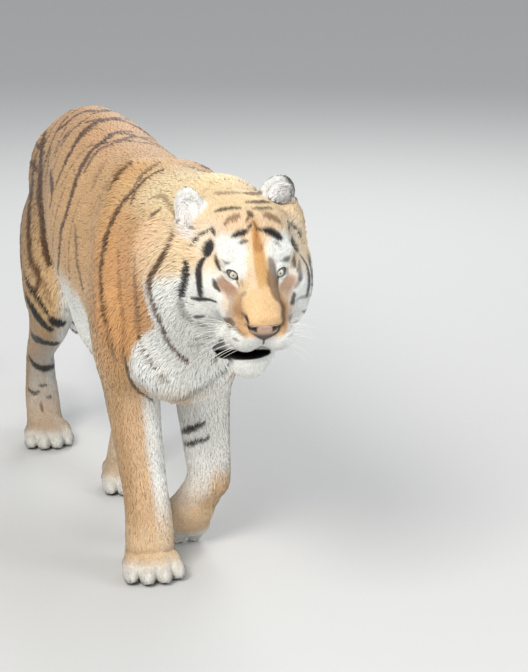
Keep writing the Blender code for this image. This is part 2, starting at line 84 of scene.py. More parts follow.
def curve(stations, step_m):
    p = np.array(stations, float)
    if len(p) == 2:
        n = max(2, int(np.linalg.norm(p[1, :3] - p[0, :3]) / step_m) + 1)
        return np.array([p[0] + (p[1] - p[0]) * t for t in np.linspace(0, 1, n)])
    q = np.vstack([2 * p[0] - p[1], p, 2 * p[-1] - p[-2]])
    out = []
    for i in range(1, len(q) - 2):
        a, b, c, d = q[i - 1:i + 3]
        n = max(1, int(round(np.linalg.norm(c[:3] - b[:3]) / step_m)))
        for t in np.arange(n) / n:
            out.append(0.5 * (2 * b + (c - a) * t + (2 * a - 5 * b + 4 * c - d) * t * t + (3 * b - a - 3 * c + d) * t ** 3))
    out.append(p[-1])
    return np.array(out)


def soft_min(a, b, k):
    h = np.maximum(k - np.abs(a - b), 0.0) / k
    return np.minimum(a, b) - h * h * k * 0.25


def soft_max(a, b, k):
    return -soft_min(-a, -b, k)


# ---------------------------------------------------------------- masses
class Ball:
    """lay is the way the hair lies on it: a vector, or None for the way of the limb or of the head."""
    def __init__(self, centre, radii, rot=None, soft=0.03, lay=None, tag="body"):
        self.c, self.r = np.array(centre, float), np.array(radii, float)
        self.m = np.eye(3) if rot is None else rot
        self.soft, self.lay, self.tag = soft, lay, tag
        e = np.sqrt(((self.m * self.r) ** 2).sum(1))
        self.lo, self.hi = self.c - e, self.c + e

    def dist(self, p):
        q = (p - self.c) @ self.m
        a = np.sqrt(((q / self.r) ** 2).sum(-1))
        return a * (a - 1) / (np.sqrt(((q / self.r ** 2) ** 2).sum(-1)) + 1e-9)

    def hair(self, p):
        return np.broadcast_to(unit(np.array(self.lay, float)), p.shape)


class Limb:
    """Stations are (x, y, z, side radius, other radius). Hair lies from the first to the last, times lay."""
    def __init__(self, stations, soft=0.035, side=(1, 0, 0), step=0.03, rot=None, at=None, lay=1, tag="body"):
        p = curve(stations, step)
        side = np.array(side, float)
        if rot is not None:
            p = p.copy()
            p[:, :3] = p[:, :3] @ rot.T + at
            side = rot @ side
        self.p, self.soft, self.side, self.lay, self.tag = p, soft, unit(side), lay, tag
        r = np.maximum(p[:, 3], p[:, 4])[:, None]
        self.lo, self.hi = (p[:, :3] - r).min(0), (p[:, :3] + r).max(0)

    def dist(self, x):
        best = np.full(len(x), 1e3)
        reach = 0.09
        for a, b in zip(self.p[:-1], self.p[1:]):
            ab = b[:3] - a[:3]
            big = max(a[3], a[4], b[3], b[4]) + reach
            lo, hi = np.minimum(a[:3], b[:3]) - big, np.maximum(a[:3], b[:3]) + big
            near = np.nonzero(((x > lo) & (x < hi)).all(1))[0]
            if not len(near):
                continue
            y = x[near]
            t = np.clip(((y - a[:3]) @ ab) / (ab @ ab), 0, 1)
            q = y - (a[:3] + t[:, None] * ab)
            e3 = unit(ab)
            e1 = unit(self.side - (self.side @ e3) * e3)
            e2 = np.cross(e3, e1)
            r1 = a[3] + (b[3] - a[3]) * t
            r2 = a[4] + (b[4] - a[4]) * t
            r3 = np.minimum(r1, r2)
            u, v, w = q @ e1, q @ e2, q @ e3
            k0 = np.sqrt((u / r1) ** 2 + (v / r2) ** 2 + (w / r3) ** 2)
            k1 = np.sqrt((u / r1 ** 2) ** 2 + (v / r2 ** 2) ** 2 + (w / r3 ** 2) ** 2) + 1e-9
            best[near] = np.minimum(best[near], k0 * (k0 - 1) / k1)
        return best

    def hair(self, p):
        if not np.isscalar(self.lay):
            return np.broadcast_to(unit(np.array(self.lay, float)), p.shape)
        mid = (self.p[1:, :3] + self.p[:-1, :3]) / 2
        way = unit(self.p[1:, :3] - self.p[:-1, :3]) * self.lay
        out = np.zeros(p.shape)
        total = np.zeros(len(p))
        for c, w in zip(mid, way):
            k = 1 / (((p - c) ** 2).sum(1) + 1e-5) ** 2
            out += k[:, None] * w
            total += k
        return out / total[:, None]


HEAD_TURN = turn(HEAD_YAW, HEAD_PITCH)


def in_head(x, y, z):
    return HEAD_TURN @ vec(x, y, z) + vec(*HEAD_AT)


def to_head(p):
    return (p - vec(*HEAD_AT)) @ HEAD_TURN


def head_ball(c, r, soft=0.02, yaw=0, pitch=0, roll=0, both=False):
    return [Ball(in_head(c[0] * s, c[1], c[2]), r, HEAD_TURN @ turn(yaw * s, pitch, roll * s), soft, tag="head")
            for s in ((1, -1) if both else (1,))]


def head_limb(stations, soft):
    return [Limb(stations, soft, (1, 0, 0), 0.02, HEAD_TURN, vec(*HEAD_AT), tag="head")]


def head_masses():
    m = []
    m += head_ball((0, 0.120, 0.023), (0.102, 0.118, 0.097))                                   # cranium
    m += head_ball((0, 0.048, 0.026), (0.076, 0.062, 0.052), 0.03, pitch=20)                   # brow
    m += head_ball((0.056, 0.030, 0.026), (0.032, 0.030, 0.021), 0.02, both=True)              # brow ridges
    m += head_ball((0.076, 0.036, -0.004), (0.022, 0.030, 0.026), 0.02, both=True)             # outer orbits
    m += head_ball((0.074, 0.052, -0.034), (0.046, 0.066, 0.046), 0.03, yaw=12, both=True)     # cheekbones
    m += head_ball((0.040, -0.004, -0.064), (0.042, 0.072, 0.052), 0.03, yaw=8, both=True)     # upper jaw
    m += head_ball((0.076, 0.090, -0.085), (0.058, 0.085, 0.085), 0.04, yaw=8, both=True)      # cheeks
    m += head_ball((0.091, 0.125, -0.058), (0.054, 0.062, 0.096), 0.04, roll=-8, both=True)    # ruff
    m += head_ball((0.090, 0.152, 0.034), (0.040, 0.050, 0.052), 0.03)                         # below the left ear
    m += head_limb([(0, 0.030, 0.018, 0.044, 0.036), (0, -0.035, -0.006, 0.040, 0.034),
                    (0, -0.085, -0.034, 0.042, 0.032), (0, -0.116, -0.054, 0.040, 0.027)], 0.022)  # bridge of the nose
    m += head_ball((0, -0.058, -0.082), (0.058, 0.072, 0.046), 0.02, pitch=4)                  # muzzle
    m += head_ball((0.033, -0.090, -0.098), (0.037, 0.044, 0.037), 0.012, yaw=12, both=True)   # whisker pads
    m += head_ball((0.046, -0.042, -0.126), (0.026, 0.054, 0.033), 0.018, yaw=12, pitch=-20, both=True)  # lips
    m += head_limb([(-0.021, -0.072, -0.172, 0.040, 0.031), (-0.014, -0.030, -0.160, 0.059, 0.046),
                    (-0.005, 0.045, -0.150, 0.080, 0.054), (0, 0.120, -0.125, 0.090, 0.060)], 0.014)     # lower jaw
    m += head_ball((-0.023, -0.082, -0.177), (0.037, 0.028, 0.029), 0.012)                     # chin
    m += head_ball((-0.070, -0.040, -0.160), (0.024, 0.038, 0.017), 0.008, pitch=-12)           # hanging corner of the lips
    return m


EARS = {  # side: (sign, centre, radii, yaw, roll, root centre)
    "ear_right": (-1, (0.122, 0.150, 0.080), (0.035, 0.018, 0.056), 20, 10, (0.094, 0.154, 0.048)),
    "ear_left": (1, (0.066, 0.162, 0.102), (0.047, 0.019, 0.047), 22, 20, (0.066, 0.156, 0.070)),
}


def ear_masses():
    m = []
    for name, (s, c, r, yaw, roll, root) in EARS.items():
        rot = HEAD_TURN @ turn(yaw * s, 0, roll * s)
        m.append(Ball(in_head(root[0] * s, root[1], root[2]), (0.042, 0.030, 0.040), HEAD_TURN @ turn(0, 0, 25 * s), 0.03, tag="head"))
        m.append(Ball(in_head(c[0] * s, c[1], c[2]), r, rot, 0.012, lay=rot @ vec(0, 0.05, 1), tag=name))
    return m


def trunk_masses():
    rows = [  # y, back line, belly line, half width
        (-0.60, 0.860, 0.560, 0.100), (-0.52, 0.930, 0.475, 0.150), (-0.42, WITHERS - 0.007, 0.440, 0.172),
        (-0.30, WITHERS, BRISKET, 0.188), (-0.14, 0.960, 0.427, 0.202), (0.02, 0.958, 0.440, RIB_HALF_WIDTH),
        (0.16, 0.964, 0.470, 0.194), (0.29, 0.980, 0.510, 0.172), (0.41, LOIN, 0.550, 0.149),
        (0.53, 0.970, 0.605, 0.137), (0.63, 0.936, 0.660, 0.120), (0.70, 0.895, 0.720, 0.076)]
    m = [Limb([(0, y, (a + b) / 2, w, (a - b) / 2) for y, a, b, w in rows], 0.03, step=0.04, lay=(0, 1, -0.18))]
    m.append(Limb([(0.0, -0.36, 0.765, 0.160, 0.205), (0.008, -0.50, 0.775, 0.168, 0.205),
                   (0.018, -0.62, 0.800, 0.170, NAPE - 0.798), (0.030, -0.73, 0.832, 0.146, 0.185),
                   (0.042, -0.80, 0.850, 0.105, 0.155)], 0.05, lay=(0, 1, -0.55), tag="neck"))
    m.append(Ball((-0.01, -0.505, 0.575), (0.12, 0.11, 0.145), None, 0.05, lay=(0, 0.35, -1), tag="neck"))
    for s in (-1, 1):
        m.append(Limb([(s * 0.062, -0.30, 0.510, 0.088, 0.066), (s * 0.072, -0.12, 0.500, 0.094, 0.067), (s * 0.068, 0.06, 0.508, 0.088, 0.062),
                       (s * 0.054, 0.24, 0.545, 0.072, 0.054)], 0.05, lay=(0, 1, -0.35)))
        top = 0.012 if s < 0 else -0.018
        m.append(Limb([(s * 0.075, SHOULDER_Y + 0.045, 0.915 + top, 0.050, 0.066), (s * 0.112, SHOULDER_Y - 0.040, 0.790, 0.070, 0.095),
                       (s * 0.128, SHOULDER_Y - 0.120, 0.670, 0.076, 0.090)], 0.05, lay=(0, 0.75, -0.8)))
        m.append(Ball((s * 0.138, SHOULDER_Y - 0.010, 0.61), (0.057, 0.105, 0.140), turn(0, 18), 0.05, lay=(0, 0.3, -1)))
        m.append(Limb([(s * 0.060, HIP_Y, 0.79, 0.072, 0.125), (s * 0.108, HIP_Y - 0.025, 0.68, 0.094, 0.165),
                       (s * 0.136, HIP_Y - 0.080, 0.57, 0.088, 0.135), (s * 0.148, HIP_Y - 0.155, 0.485, 0.070, 0.095)], 0.05,
                      lay=(0, 0.45, -1)))
        m.append(Ball((s * 0.075, HIP_Y + 0.12, 0.75), (0.080, 0.10, 0.13), None, 0.05, lay=(0, 0.6, -1)))
    return m


def foot(at, rot, narrow=1.0, tag="paw"):
    """`at` is the middle of the sole, toes point to local -Y."""
    lay = rot @ vec(0, -1, -0.25)
    def ball(c, r, soft=0.02, yaw=0, pitch=0):
        return Ball(rot @ vec(*c) + at, r, rot @ turn(yaw, pitch), soft, lay=lay, tag=tag)
    m = [ball((0, 0.020, 0.050), (0.062 * narrow, 0.070, 0.044)), ball((0, -0.010, 0.040), (0.072 * narrow, 0.055, 0.036))]
    for s in (-1, 1):
        for x, y, a in ((0.054, -0.040, 10), (0.0195, -0.060, 3)):
            m.append(ball((s * x * narrow, y, 0.0285), (0.0235, 0.036, 0.0265), 0.008, yaw=s * a))
            m.append(ball((s * x * narrow * 0.92, y + 0.025, 0.046), (0.0215, 0.034, 0.024), 0.012, yaw=s * a, pitch=25))
    m.append(ball((0, 0.018, 0.022), (0.042 * narrow, 0.036, 0.022), 0.01))
    return m


def leg_masses():
    m = []
    m.append(Limb([(-0.128, -0.475, 0.640, 0.074, 0.090), (-0.117, -0.385, 0.520, 0.069, 0.085), (-0.100, -0.360, 0.440, 0.074, 0.076),
                   (-0.096, -0.385, 0.340, 0.066, 0.064), (-0.088, -0.410, 0.230, 0.060, 0.056), (-0.083, -0.432, 0.150, 0.058, 0.052),
                   (FORE_PAW_AT[0] + 0.001, -0.452, 0.075, 0.062, 0.048)], tag="leg"))
    m += foot(vec(*FORE_PAW_AT, SOLE), turn(-3))
    m.append(Limb([(0.126, -0.465, 0.640, 0.075, 0.090), (0.106, -0.360, 0.515, 0.072, 0.088), (0.084, -0.330, 0.420, 0.074, 0.080),
                   (0.086, -0.334, 0.310, 0.066, 0.064), (0.094, -0.341, 0.186, 0.055, 0.054)], tag="leg"))
    rot = foot_turn(HANG, (0.10, -1, 0))
    wrist = vec(*WRIST_AT)
    m.append(Limb([tuple(wrist) + (0.052, 0.050), tuple(wrist + rot @ vec(0, -0.060, 0.002)) + (0.056, 0.042)], 0.02, side=rot[:, 0], tag="leg"))
    m += foot(wrist - rot @ vec(0, 0.112, 0.045), rot)
    m.append(Limb([(-0.146, 0.360, 0.500, 0.074, 0.094), (-0.147, 0.425, 0.415, 0.062, 0.085), (-0.144, 0.524, 0.335, 0.050, 0.062),
                   (-0.142, 0.612, 0.270, 0.044, 0.050), (-0.140, 0.645, 0.200, 0.046, 0.044), (-0.139, 0.637, 0.120, 0.049, 0.042),
                   (-0.137, 0.625, 0.060, 0.052, 0.042)], tag="leg"))
    m.append(Limb([(-0.143, 0.624, 0.290, 0.030, 0.030), (-0.141, 0.652, 0.245, 0.034, 0.034)], 0.02, tag="leg"))
    m += foot(vec(*HIND_PAW_AT, SOLE), turn(-3), 0.90)
    m.append(Limb([(0.146, 0.330, 0.510, 0.075, 0.100), (0.145, 0.290, 0.420, 0.062, 0.085), (0.120, 0.320, 0.335, 0.050, 0.062),
                   (0.090, 0.345, 0.265, 0.042, 0.050), (0.060, 0.325, 0.200, 0.044, 0.044), (0.020, 0.255, 0.110, 0.047, 0.042),
                   (0.003, 0.215, 0.060, 0.052, 0.042)], tag="leg"))
    m.append(Limb([(0.092, 0.355, 0.290, 0.030, 0.030), (0.080, 0.372, 0.245, 0.034, 0.034)], 0.02, tag="leg"))
    m += foot(vec(*REACH_PAW_AT, SOLE), turn(2), 0.90)
    return m


def tail_masses():
    r = TAIL_RADIUS
    return [Limb([(0, 0.640, 0.870, 0.062, 0.058), (0, 0.735, 0.835, 0.048, 0.048), (0.002, 0.812, 0.735, 0.040, 0.040),
                  (0.006, 0.852, 0.590, r + 0.001, r + 0.001), (0.015, 0.885, 0.440, r, r), (0.03, 0.945, 0.310, r - 0.001, r - 0.001),
                  (0.05, 1.03, 0.225, r - 0.002, r - 0.002), (0.07, 1.13, 0.190, r - 0.003, r - 0.003),
                  (0.085, 1.235, 0.210, r - 0.006, r - 0.006), (0.09, 1.31, 0.270, r - 0.013, r - 0.013)], 0.04, tag="tail")]


MASSES = trunk_masses() + leg_masses() + tail_masses() + head_masses() + ear_masses()
NOSE_TIP = in_head(0, -0.139, -0.076)


def tips(p):
    """Signed distance to the line of the coat's tips, as in the solids."""
    d = np.full(len(p), 0.3)
    for m in MASSES:
        pad = m.soft + 0.05
        near = np.nonzero(((p > m.lo - pad) & (p < m.hi + pad)).all(1))[0]
        if len(near):
            q = p[near]
            k = m.soft if m.soft <= 0.012 else np.clip(0.006 + (m.soft - 0.006) * (q[:, 2] - 0.36) / 0.10, 0.006, m.soft)
            d[near] = soft_min(d[near], m.dist(q), k)
    return d


# ---------------------------------------------------------------- depth of the coat
def coat_depth(p):
    """Depth of the coat, metres: least on the face, ears and feet, most on the ruff and the belly."""
    h = to_head(p)
    d = np.full(len(p), 0.0085)
    low = 1 - step(p[:, 2], 0.10, 0.42)
    d += (0.0050 - d) * low * (p[:, 1] < 0.72)                                   # legs and feet
    on_head = step(-p[:, 1], 0.66, 0.76)
    face = step(-h[:, 1], -0.115, 0.02)
    d += (0.0100 + 0.0035 * step(np.abs(h[:, 0]), 0.07, 0.13) * step(-h[:, 2], -0.02, 0.08) - d) * on_head
    d += (0.0028 - d) * on_head * face
    top = on_head * step(h[:, 2], 0.03, 0.08) * step(-h[:, 1], -0.20, -0.12)
    d += (0.0050 - d) * top
    for s, c, r, yaw, roll, root in EARS.values():
        q = ((p - in_head(c[0] * s, c[1], c[2])) @ (HEAD_TURN @ turn(yaw * s, 0, roll * s))) / vec(*r)
        d += (0.0030 - d) * (1 - step(np.sqrt((q ** 2).sum(1)), 1.15, 1.6))
    d += 0.003 * step(-p[:, 1], 0.50, 0.62) * (1 - on_head) * step(0.80 - p[:, 2], 0, 0.1)      # throat
    return d


# ---------------------------------------------------------------- the face under the hair
EYE_WAY = {s: HEAD_TURN @ unit(vec(s * 0.34, -1.0, 0.20)) for s in (-1, 1)}
EYE_AT = {s: in_head(s * EYE_APART, 0.002, 0.0) for s in (-1, 1)}
EYE_ROLL = {-1: 16, 1: -16}          # inner corners lie lower than the outer ones, degrees
EYE_OPEN = (0.0166, 0.0080)          # half width and half height between the lids


def eye_frame(s):
    """Axes of an eye: out from the nose, up, and the way it looks."""
    w = EYE_WAY[s]
    up = unit(HEAD_TURN @ vec(0, 0, 1) - (HEAD_TURN @ vec(0, 0, 1) @ w) * w)
    side = np.cross(up, w) * s
    a = math.radians(25)
    return unit(side * math.cos(a) + up * math.sin(a)), unit(up * math.cos(a) - side * math.sin(a)), w


def lids(p, s, grow=0.0):
    """Signed distance, in the plane of the lids, to the almond opening."""
    e1, e2, w = eye_frame(s)
    q = p - EYE_AT[s]
    u, v = q @ e1, q @ e2
    a, b = EYE_OPEN[0] + grow, EYE_OPEN[1] + grow
    low = np.where(v < 0, 0.86, 1.0)
    k = np.clip(1 - (u / a) ** 2, 0, 1)
    point = np.where(u < 0, -0.0034 * (np.clip(-u / a, 0, 1.3)) ** 3, 0)      # tear duct, drawn down and in
    rim = b * low * k ** 0.75
    return np.where(np.abs(u) < a, np.abs(v - point) - rim, np.hypot(np.abs(u) - a, v - point))


def mouth_gap(p):
    m = HEAD_TURN @ turn(0, -19, 0)
    q = (p - in_head(-0.045, -0.100, -0.1430)) @ m
    r = vec(0.074, 0.086, 0.0082)
    a = np.sqrt(((q / r) ** 2).sum(1))
    return a * (a - 1) / (np.sqrt(((q / r ** 2) ** 2).sum(1)) + 1e-9)


def ear_hollow(p):
    d = np.full(len(p), 1.0)
    for s, c, r, yaw, roll, root in EARS.values():
        rot = HEAD_TURN @ turn(yaw * s, 0, roll * s)
        b = Ball(in_head(c[0] * s, c[1], c[2]) + rot @ vec(0, -r[1] * 1.25, r[2] * 0.12), (r[0] * 0.72, r[1] * 0.62, r[2] * 0.74), rot)
        d = np.minimum(d, b.dist(p))
    return d


def furrow(q, a, b, wide, deep):
    """A soft groove along the segment a-b; q are points in head coordinates."""
    a, b = vec(*a), vec(*b)
    ab = b - a
    t = np.clip(((q - a) @ ab) / (ab @ ab), 0, 1)
    d = np.linalg.norm(q - (a + t[:, None] * ab), axis=1)
    return deep * np.exp(-(d / wide) ** 2) * (0.35 + 0.65 * np.sin(np.pi * np.clip(t, 0.06, 0.94)))


def skin_field(p):
    """Signed distance to the skin."""
    d = tips(p) + coat_depth(p)
    near = np.nonzero(p[:, 1] < -0.70)[0]
    if len(near):
        q = p[near]
        h = to_head(q)
        e = d[near]
        e = soft_max(e, -ear_hollow(q), 0.004)
        face = np.nonzero(h[:, 1] < 0.08)[0]
        if len(face):
            f, g, qq = e[face], h[face], q[face]
            x = np.abs(g[:, 0])
            m = np.stack([x, g[:, 1], g[:, 2]], 1)
            # folds
            f += furrow(m, (0.0, -0.136, -0.086), (0.0, -0.122, -0.128), 0.0022, 0.0045)        # cleft of the upper lip
            f += furrow(m, (0.030, -0.128, -0.083), (0.034, -0.085, -0.070), 0.006, 0.0040)      # above the whisker pad
            f += furrow(m, (0.034, -0.085, -0.070), (0.050, -0.020, -0.050), 0.010, 0.0030)      # beside the muzzle
            f += furrow(m, (0.066, -0.030, -0.085), (0.080, 0.010, -0.120), 0.014, 0.0040)       # corner of the lips
            f += furrow(m, (0.020, -0.010, 0.012), (0.030, 0.012, 0.030), 0.010, 0.0025)         # inner brow
            f -= furrow(m, (0.030, 0.006, 0.022), (0.066, 0.028, 0.020), 0.009, 0.0030)          # brow
            f -= furrow(m, (0.028, -0.014, -0.016), (0.056, 0.004, -0.024), 0.006, 0.0020)       # pouch under the eye
            f += furrow(m, (0.024, -0.026, -0.026), (0.050, -0.010, -0.036), 0.006, 0.0015)
            for i in range(4):                                                                     # rows of the whiskers
                f += furrow(m, (0.036, -0.122 + 0.002 * i, -0.082 - 0.010 * i), (0.066, -0.070, -0.078 - 0.012 * i), 0.0022, 0.0012)
            # nostrils
            n1 = Ball((0.0200, -0.1385, -0.0640), (0.0095, 0.0120, 0.0054), turn(-28, 0, 30)).dist(m)
            n2 = Ball((0.0300, -0.1240, -0.0660), (0.0035, 0.0130, 0.0040), turn(-55, 0, 10)).dist(m)
            f = soft_max(f, -np.minimum(n1, n2), 0.003)
            # eyes: lids lie just over the ball, and open in an almond
            for s in (-1, 1):
                r = np.linalg.norm(qq - EYE_AT[s], axis=1)
                ball = r - (EYE_RADIUS + 0.0021)
                k = np.nonzero(r < 0.05)[0]
                if not len(k):
                    continue
                ek = soft_min(f[k], ball[k], 0.006)
                open_ = lids(qq[k], s)
                front = (qq[k] - EYE_AT[s]) @ EYE_WAY[s]
                pocket = np.maximum(np.maximum(open_, 0.0140 - r[k]), -front)
                ek = soft_max(ek, -pocket, 0.0012)
                f[k] = ek
            # mouth
            f = soft_max(f, -mouth_gap(qq), 0.003)
            e[face] = f
        d[near] = e
    return np.maximum(d, 0.0012 - p[:, 2])


def gradient(field, p, h=0.0007, d0=None):
    d0 = field(p) if d0 is None else d0
    g = np.empty_like(p)
    for a in range(3):
        w = p.copy()
        w[:, a] += h
        g[:, a] = (field(w) - d0) / h
    return d0, g


# ---------------------------------------------------------------- a net over the field
def slab(lo, hi, cell, coarse=4):
    """Quads over the zero level inside a box, open where it runs out of the box."""
    n = [int(round((hi[i] - lo[i]) / (cell * coarse))) * coarse + 1 for i in range(3)]
    ax = [np.linspace(lo[i], hi[i], n[i]) for i in range(3)]
    cx = [a[::coarse] for a in ax]
    G = np.stack(np.meshgrid(*cx, indexing="ij"), -1)
    dc = tips(G.reshape(-1, 3)).reshape(G.shape[:3])
    reach = cell * coarse * 1.0 + 0.016
    # cells of the coarse grid that may hold the surface
    least, most = dc[:-1, :-1, :-1].copy(), dc[:-1, :-1, :-1].copy()
    for i in (0, 1):
        for j in (0, 1):
            for k in (0, 1):
                b = dc[i:dc.shape[0] - 1 + i, j:dc.shape[1] - 1 + j, k:dc.shape[2] - 1 + k]
                least, most = np.minimum(least, b), np.maximum(most, b)
    live = (least < reach) & (most > -reach - 0.012)
    d = np.where(dc < 0, -1.0, 1.0).astype(np.float32)
    for a in range(3):
        d = np.repeat(d, coarse, axis=a)
    d = d[:n[0], :n[1], :n[2]]
    pad = np.zeros(d.shape, bool)
    c = np.argwhere(live) * coarse
    for i in range(coarse + 1):
        for j in range(coarse + 1):
            for k in range(coarse + 1):
                pad[c[:, 0] + i, c[:, 1] + j, c[:, 2] + k] = True
    w = np.argwhere(pad)
    pts = np.stack([ax[i][w[:, i]] for i in range(3)], 1)
    d[w[:, 0], w[:, 1], w[:, 2]] = skin_field(pts)
    s = d < 0
    count = np.zeros([k - 1 for k in n], np.uint8)
    for i in (0, 1):
        for j in (0, 1):
            for k in (0, 1):
                count += s[i:n[0] - 1 + i, j:n[1] - 1 + j, k:n[2] - 1 + k]
    act = (count > 0) & (count < 8)
    idx = np.full(act.shape, -1, np.int64)
    ci = np.argwhere(act)
    idx[act] = np.arange(len(ci))
    I, J, K = ci.T
    acc, cnt = np.zeros((len(ci), 3)), np.zeros(len(ci))
    corners = [(i, j, k) for i in (0, 1) for j in (0, 1) for k in (0, 1)]
    for a in range(8):
        for b in range(a + 1, 8):
            A, B = corners[a], corners[b]
            if sum(x != y for x, y in zip(A, B)) != 1:
                continue
            da, db = (d[I + C[0], J + C[1], K + C[2]].astype(float) for C in (A, B))
            m = (da < 0) != (db < 0)
            t = np.where(m, da / np.where(m, da - db, 1), 0)
            pa, pb = (np.stack([ax[0][I + C[0]], ax[1][J + C[1]], ax[2][K + C[2]]], 1) for C in (A, B))
            acc += np.where(m[:, None], pa + t[:, None] * (pb - pa), 0)
            cnt += m
    verts = acc / cnt[:, None]
    quads = []
    for x in range(3):
        s0, s1 = [slice(None)] * 3, [slice(None)] * 3
        s0[x], s1[x] = slice(0, -1), slice(1, None)
        e = np.argwhere(s[tuple(s0)] != s[tuple(s1)])
        o = [y for y in range(3) if y != x]
        e = e[(e[:, o[0]] > 0) & (e[:, o[1]] > 0) & (e[:, o[0]] < n[o[0]] - 1) & (e[:, o[1]] < n[o[1]] - 1)]
        inside = s[tuple(e.T)]
        f = []
        for du, dv in ((-1, -1), (0, -1), (0, 0), (-1, 0)):
            q = e.copy()
            q[:, o[0]] += du
            q[:, o[1]] += dv
            f.append(idx[tuple(q.T)])
        f = np.stack(f, 1)
        flip = inside if x != 1 else ~inside
        f[~flip] = f[~flip][:, ::-1]
        quads.append(f)
    return verts, np.vstack(quads)


def rims(quads):
    """Boundary loops, in the direction of their faces."""
    e = np.vstack([np.stack([quads[:, i], quads[:, (i + 1) % 4]], 1) for i in range(4)])
    big = int(quads.max()) + 1
    key, back = e[:, 0] * big + e[:, 1], e[:, 1] * big + e[:, 0]
    edge = e[~np.isin(key, back)]
    nxt = {}
    for a, b in edge.tolist():
        nxt.setdefault(a, []).append(b)
    loops = []
    while nxt:
        a = next(iter(nxt))
        loop = [a]
        b = nxt[a].pop()
        if not nxt[a]:
            del nxt[a]
        while b != loop[0]:
            loop.append(b)
            c = nxt[b].pop()
            if not nxt[b]:
                del nxt[b]
            b = c
        loops.append(np.array(loop))
    return loops


def zipped(v, la, lb):
    """Triangles that close the gap between two facing loops."""
    lb = lb[::-1]
    lb = np.roll(lb, -int(np.argmin(((v[lb] - v[la[0]]) ** 2).sum(1))))
    A, B = np.append(la, la[0]), np.append(lb, lb[0])
    i = j = 0
    out = []
    while i < len(la) or j < len(lb):
        da = np.linalg.norm(v[A[i + 1]] - v[B[j]]) if i < len(la) else 9e9
        db = np.linalg.norm(v[A[i]] - v[B[j + 1]]) if j < len(lb) else 9e9
        if da <= db:
            out.append((A[i + 1], A[i], B[j]))
            i += 1
        else:
            out.append((A[i], B[j], B[j + 1]))
            j += 1
    return out


# ---------------------------------------------------------------- one skin
def make_skin(quick=False):
    k = 1.5 if quick else 1.0
    boxes = [((-.14, -1.085, .60), (.22, -.90, .93), .0022 * k), ((-.20, -.90, .56), (.28, -.70, 1.03), .0042 * k),
             ((-.27, -.70, .13), (.27, 1.37, 1.03), .0080 * k), ((-.24, -.62, -.01), (.20, .74, .13), .0042 * k)]
    V, Q, T, open_rims = [], [], [], []
    base = 0
    for lo, hi, cell in boxes:
        v, q = slab(vec(*lo), vec(*hi), cell)
        V.append(v)
        Q.append(q + base)
        open_rims.append([r + base for r in rims(q)])
        base += len(v)
    v = np.vstack(V)
    for a, b in ((0, 1), (1, 2), (2, 3)):
        for la in open_rims[a]:
            ca = v[la].mean(0)
            best = min(open_rims[b], key=lambda lb: np.linalg.norm(v[lb].mean(0) - ca))
            if np.linalg.norm(v[best].mean(0) - ca) < 0.03:
                T += zipped(v, la, best)
    q = np.vstack(Q)
    # settle on the field, and take its slope as the normal
    for _ in range(2):
        d, g = gradient(skin_field, v)
        s = -d[:, None] * g / np.maximum((g ** 2).sum(1), 0.3)[:, None]
        n = np.linalg.norm(s, axis=1)
        v = v + s * np.minimum(1, 0.0025 / np.maximum(n, 1e-9))[:, None]
    d, g = gradient(skin_field, v)
    t = np.vstack([q[:, [0, 1, 2]], q[:, [0, 2, 3]], np.array(T)])
    return v, q, np.array(T), t, unit(g)


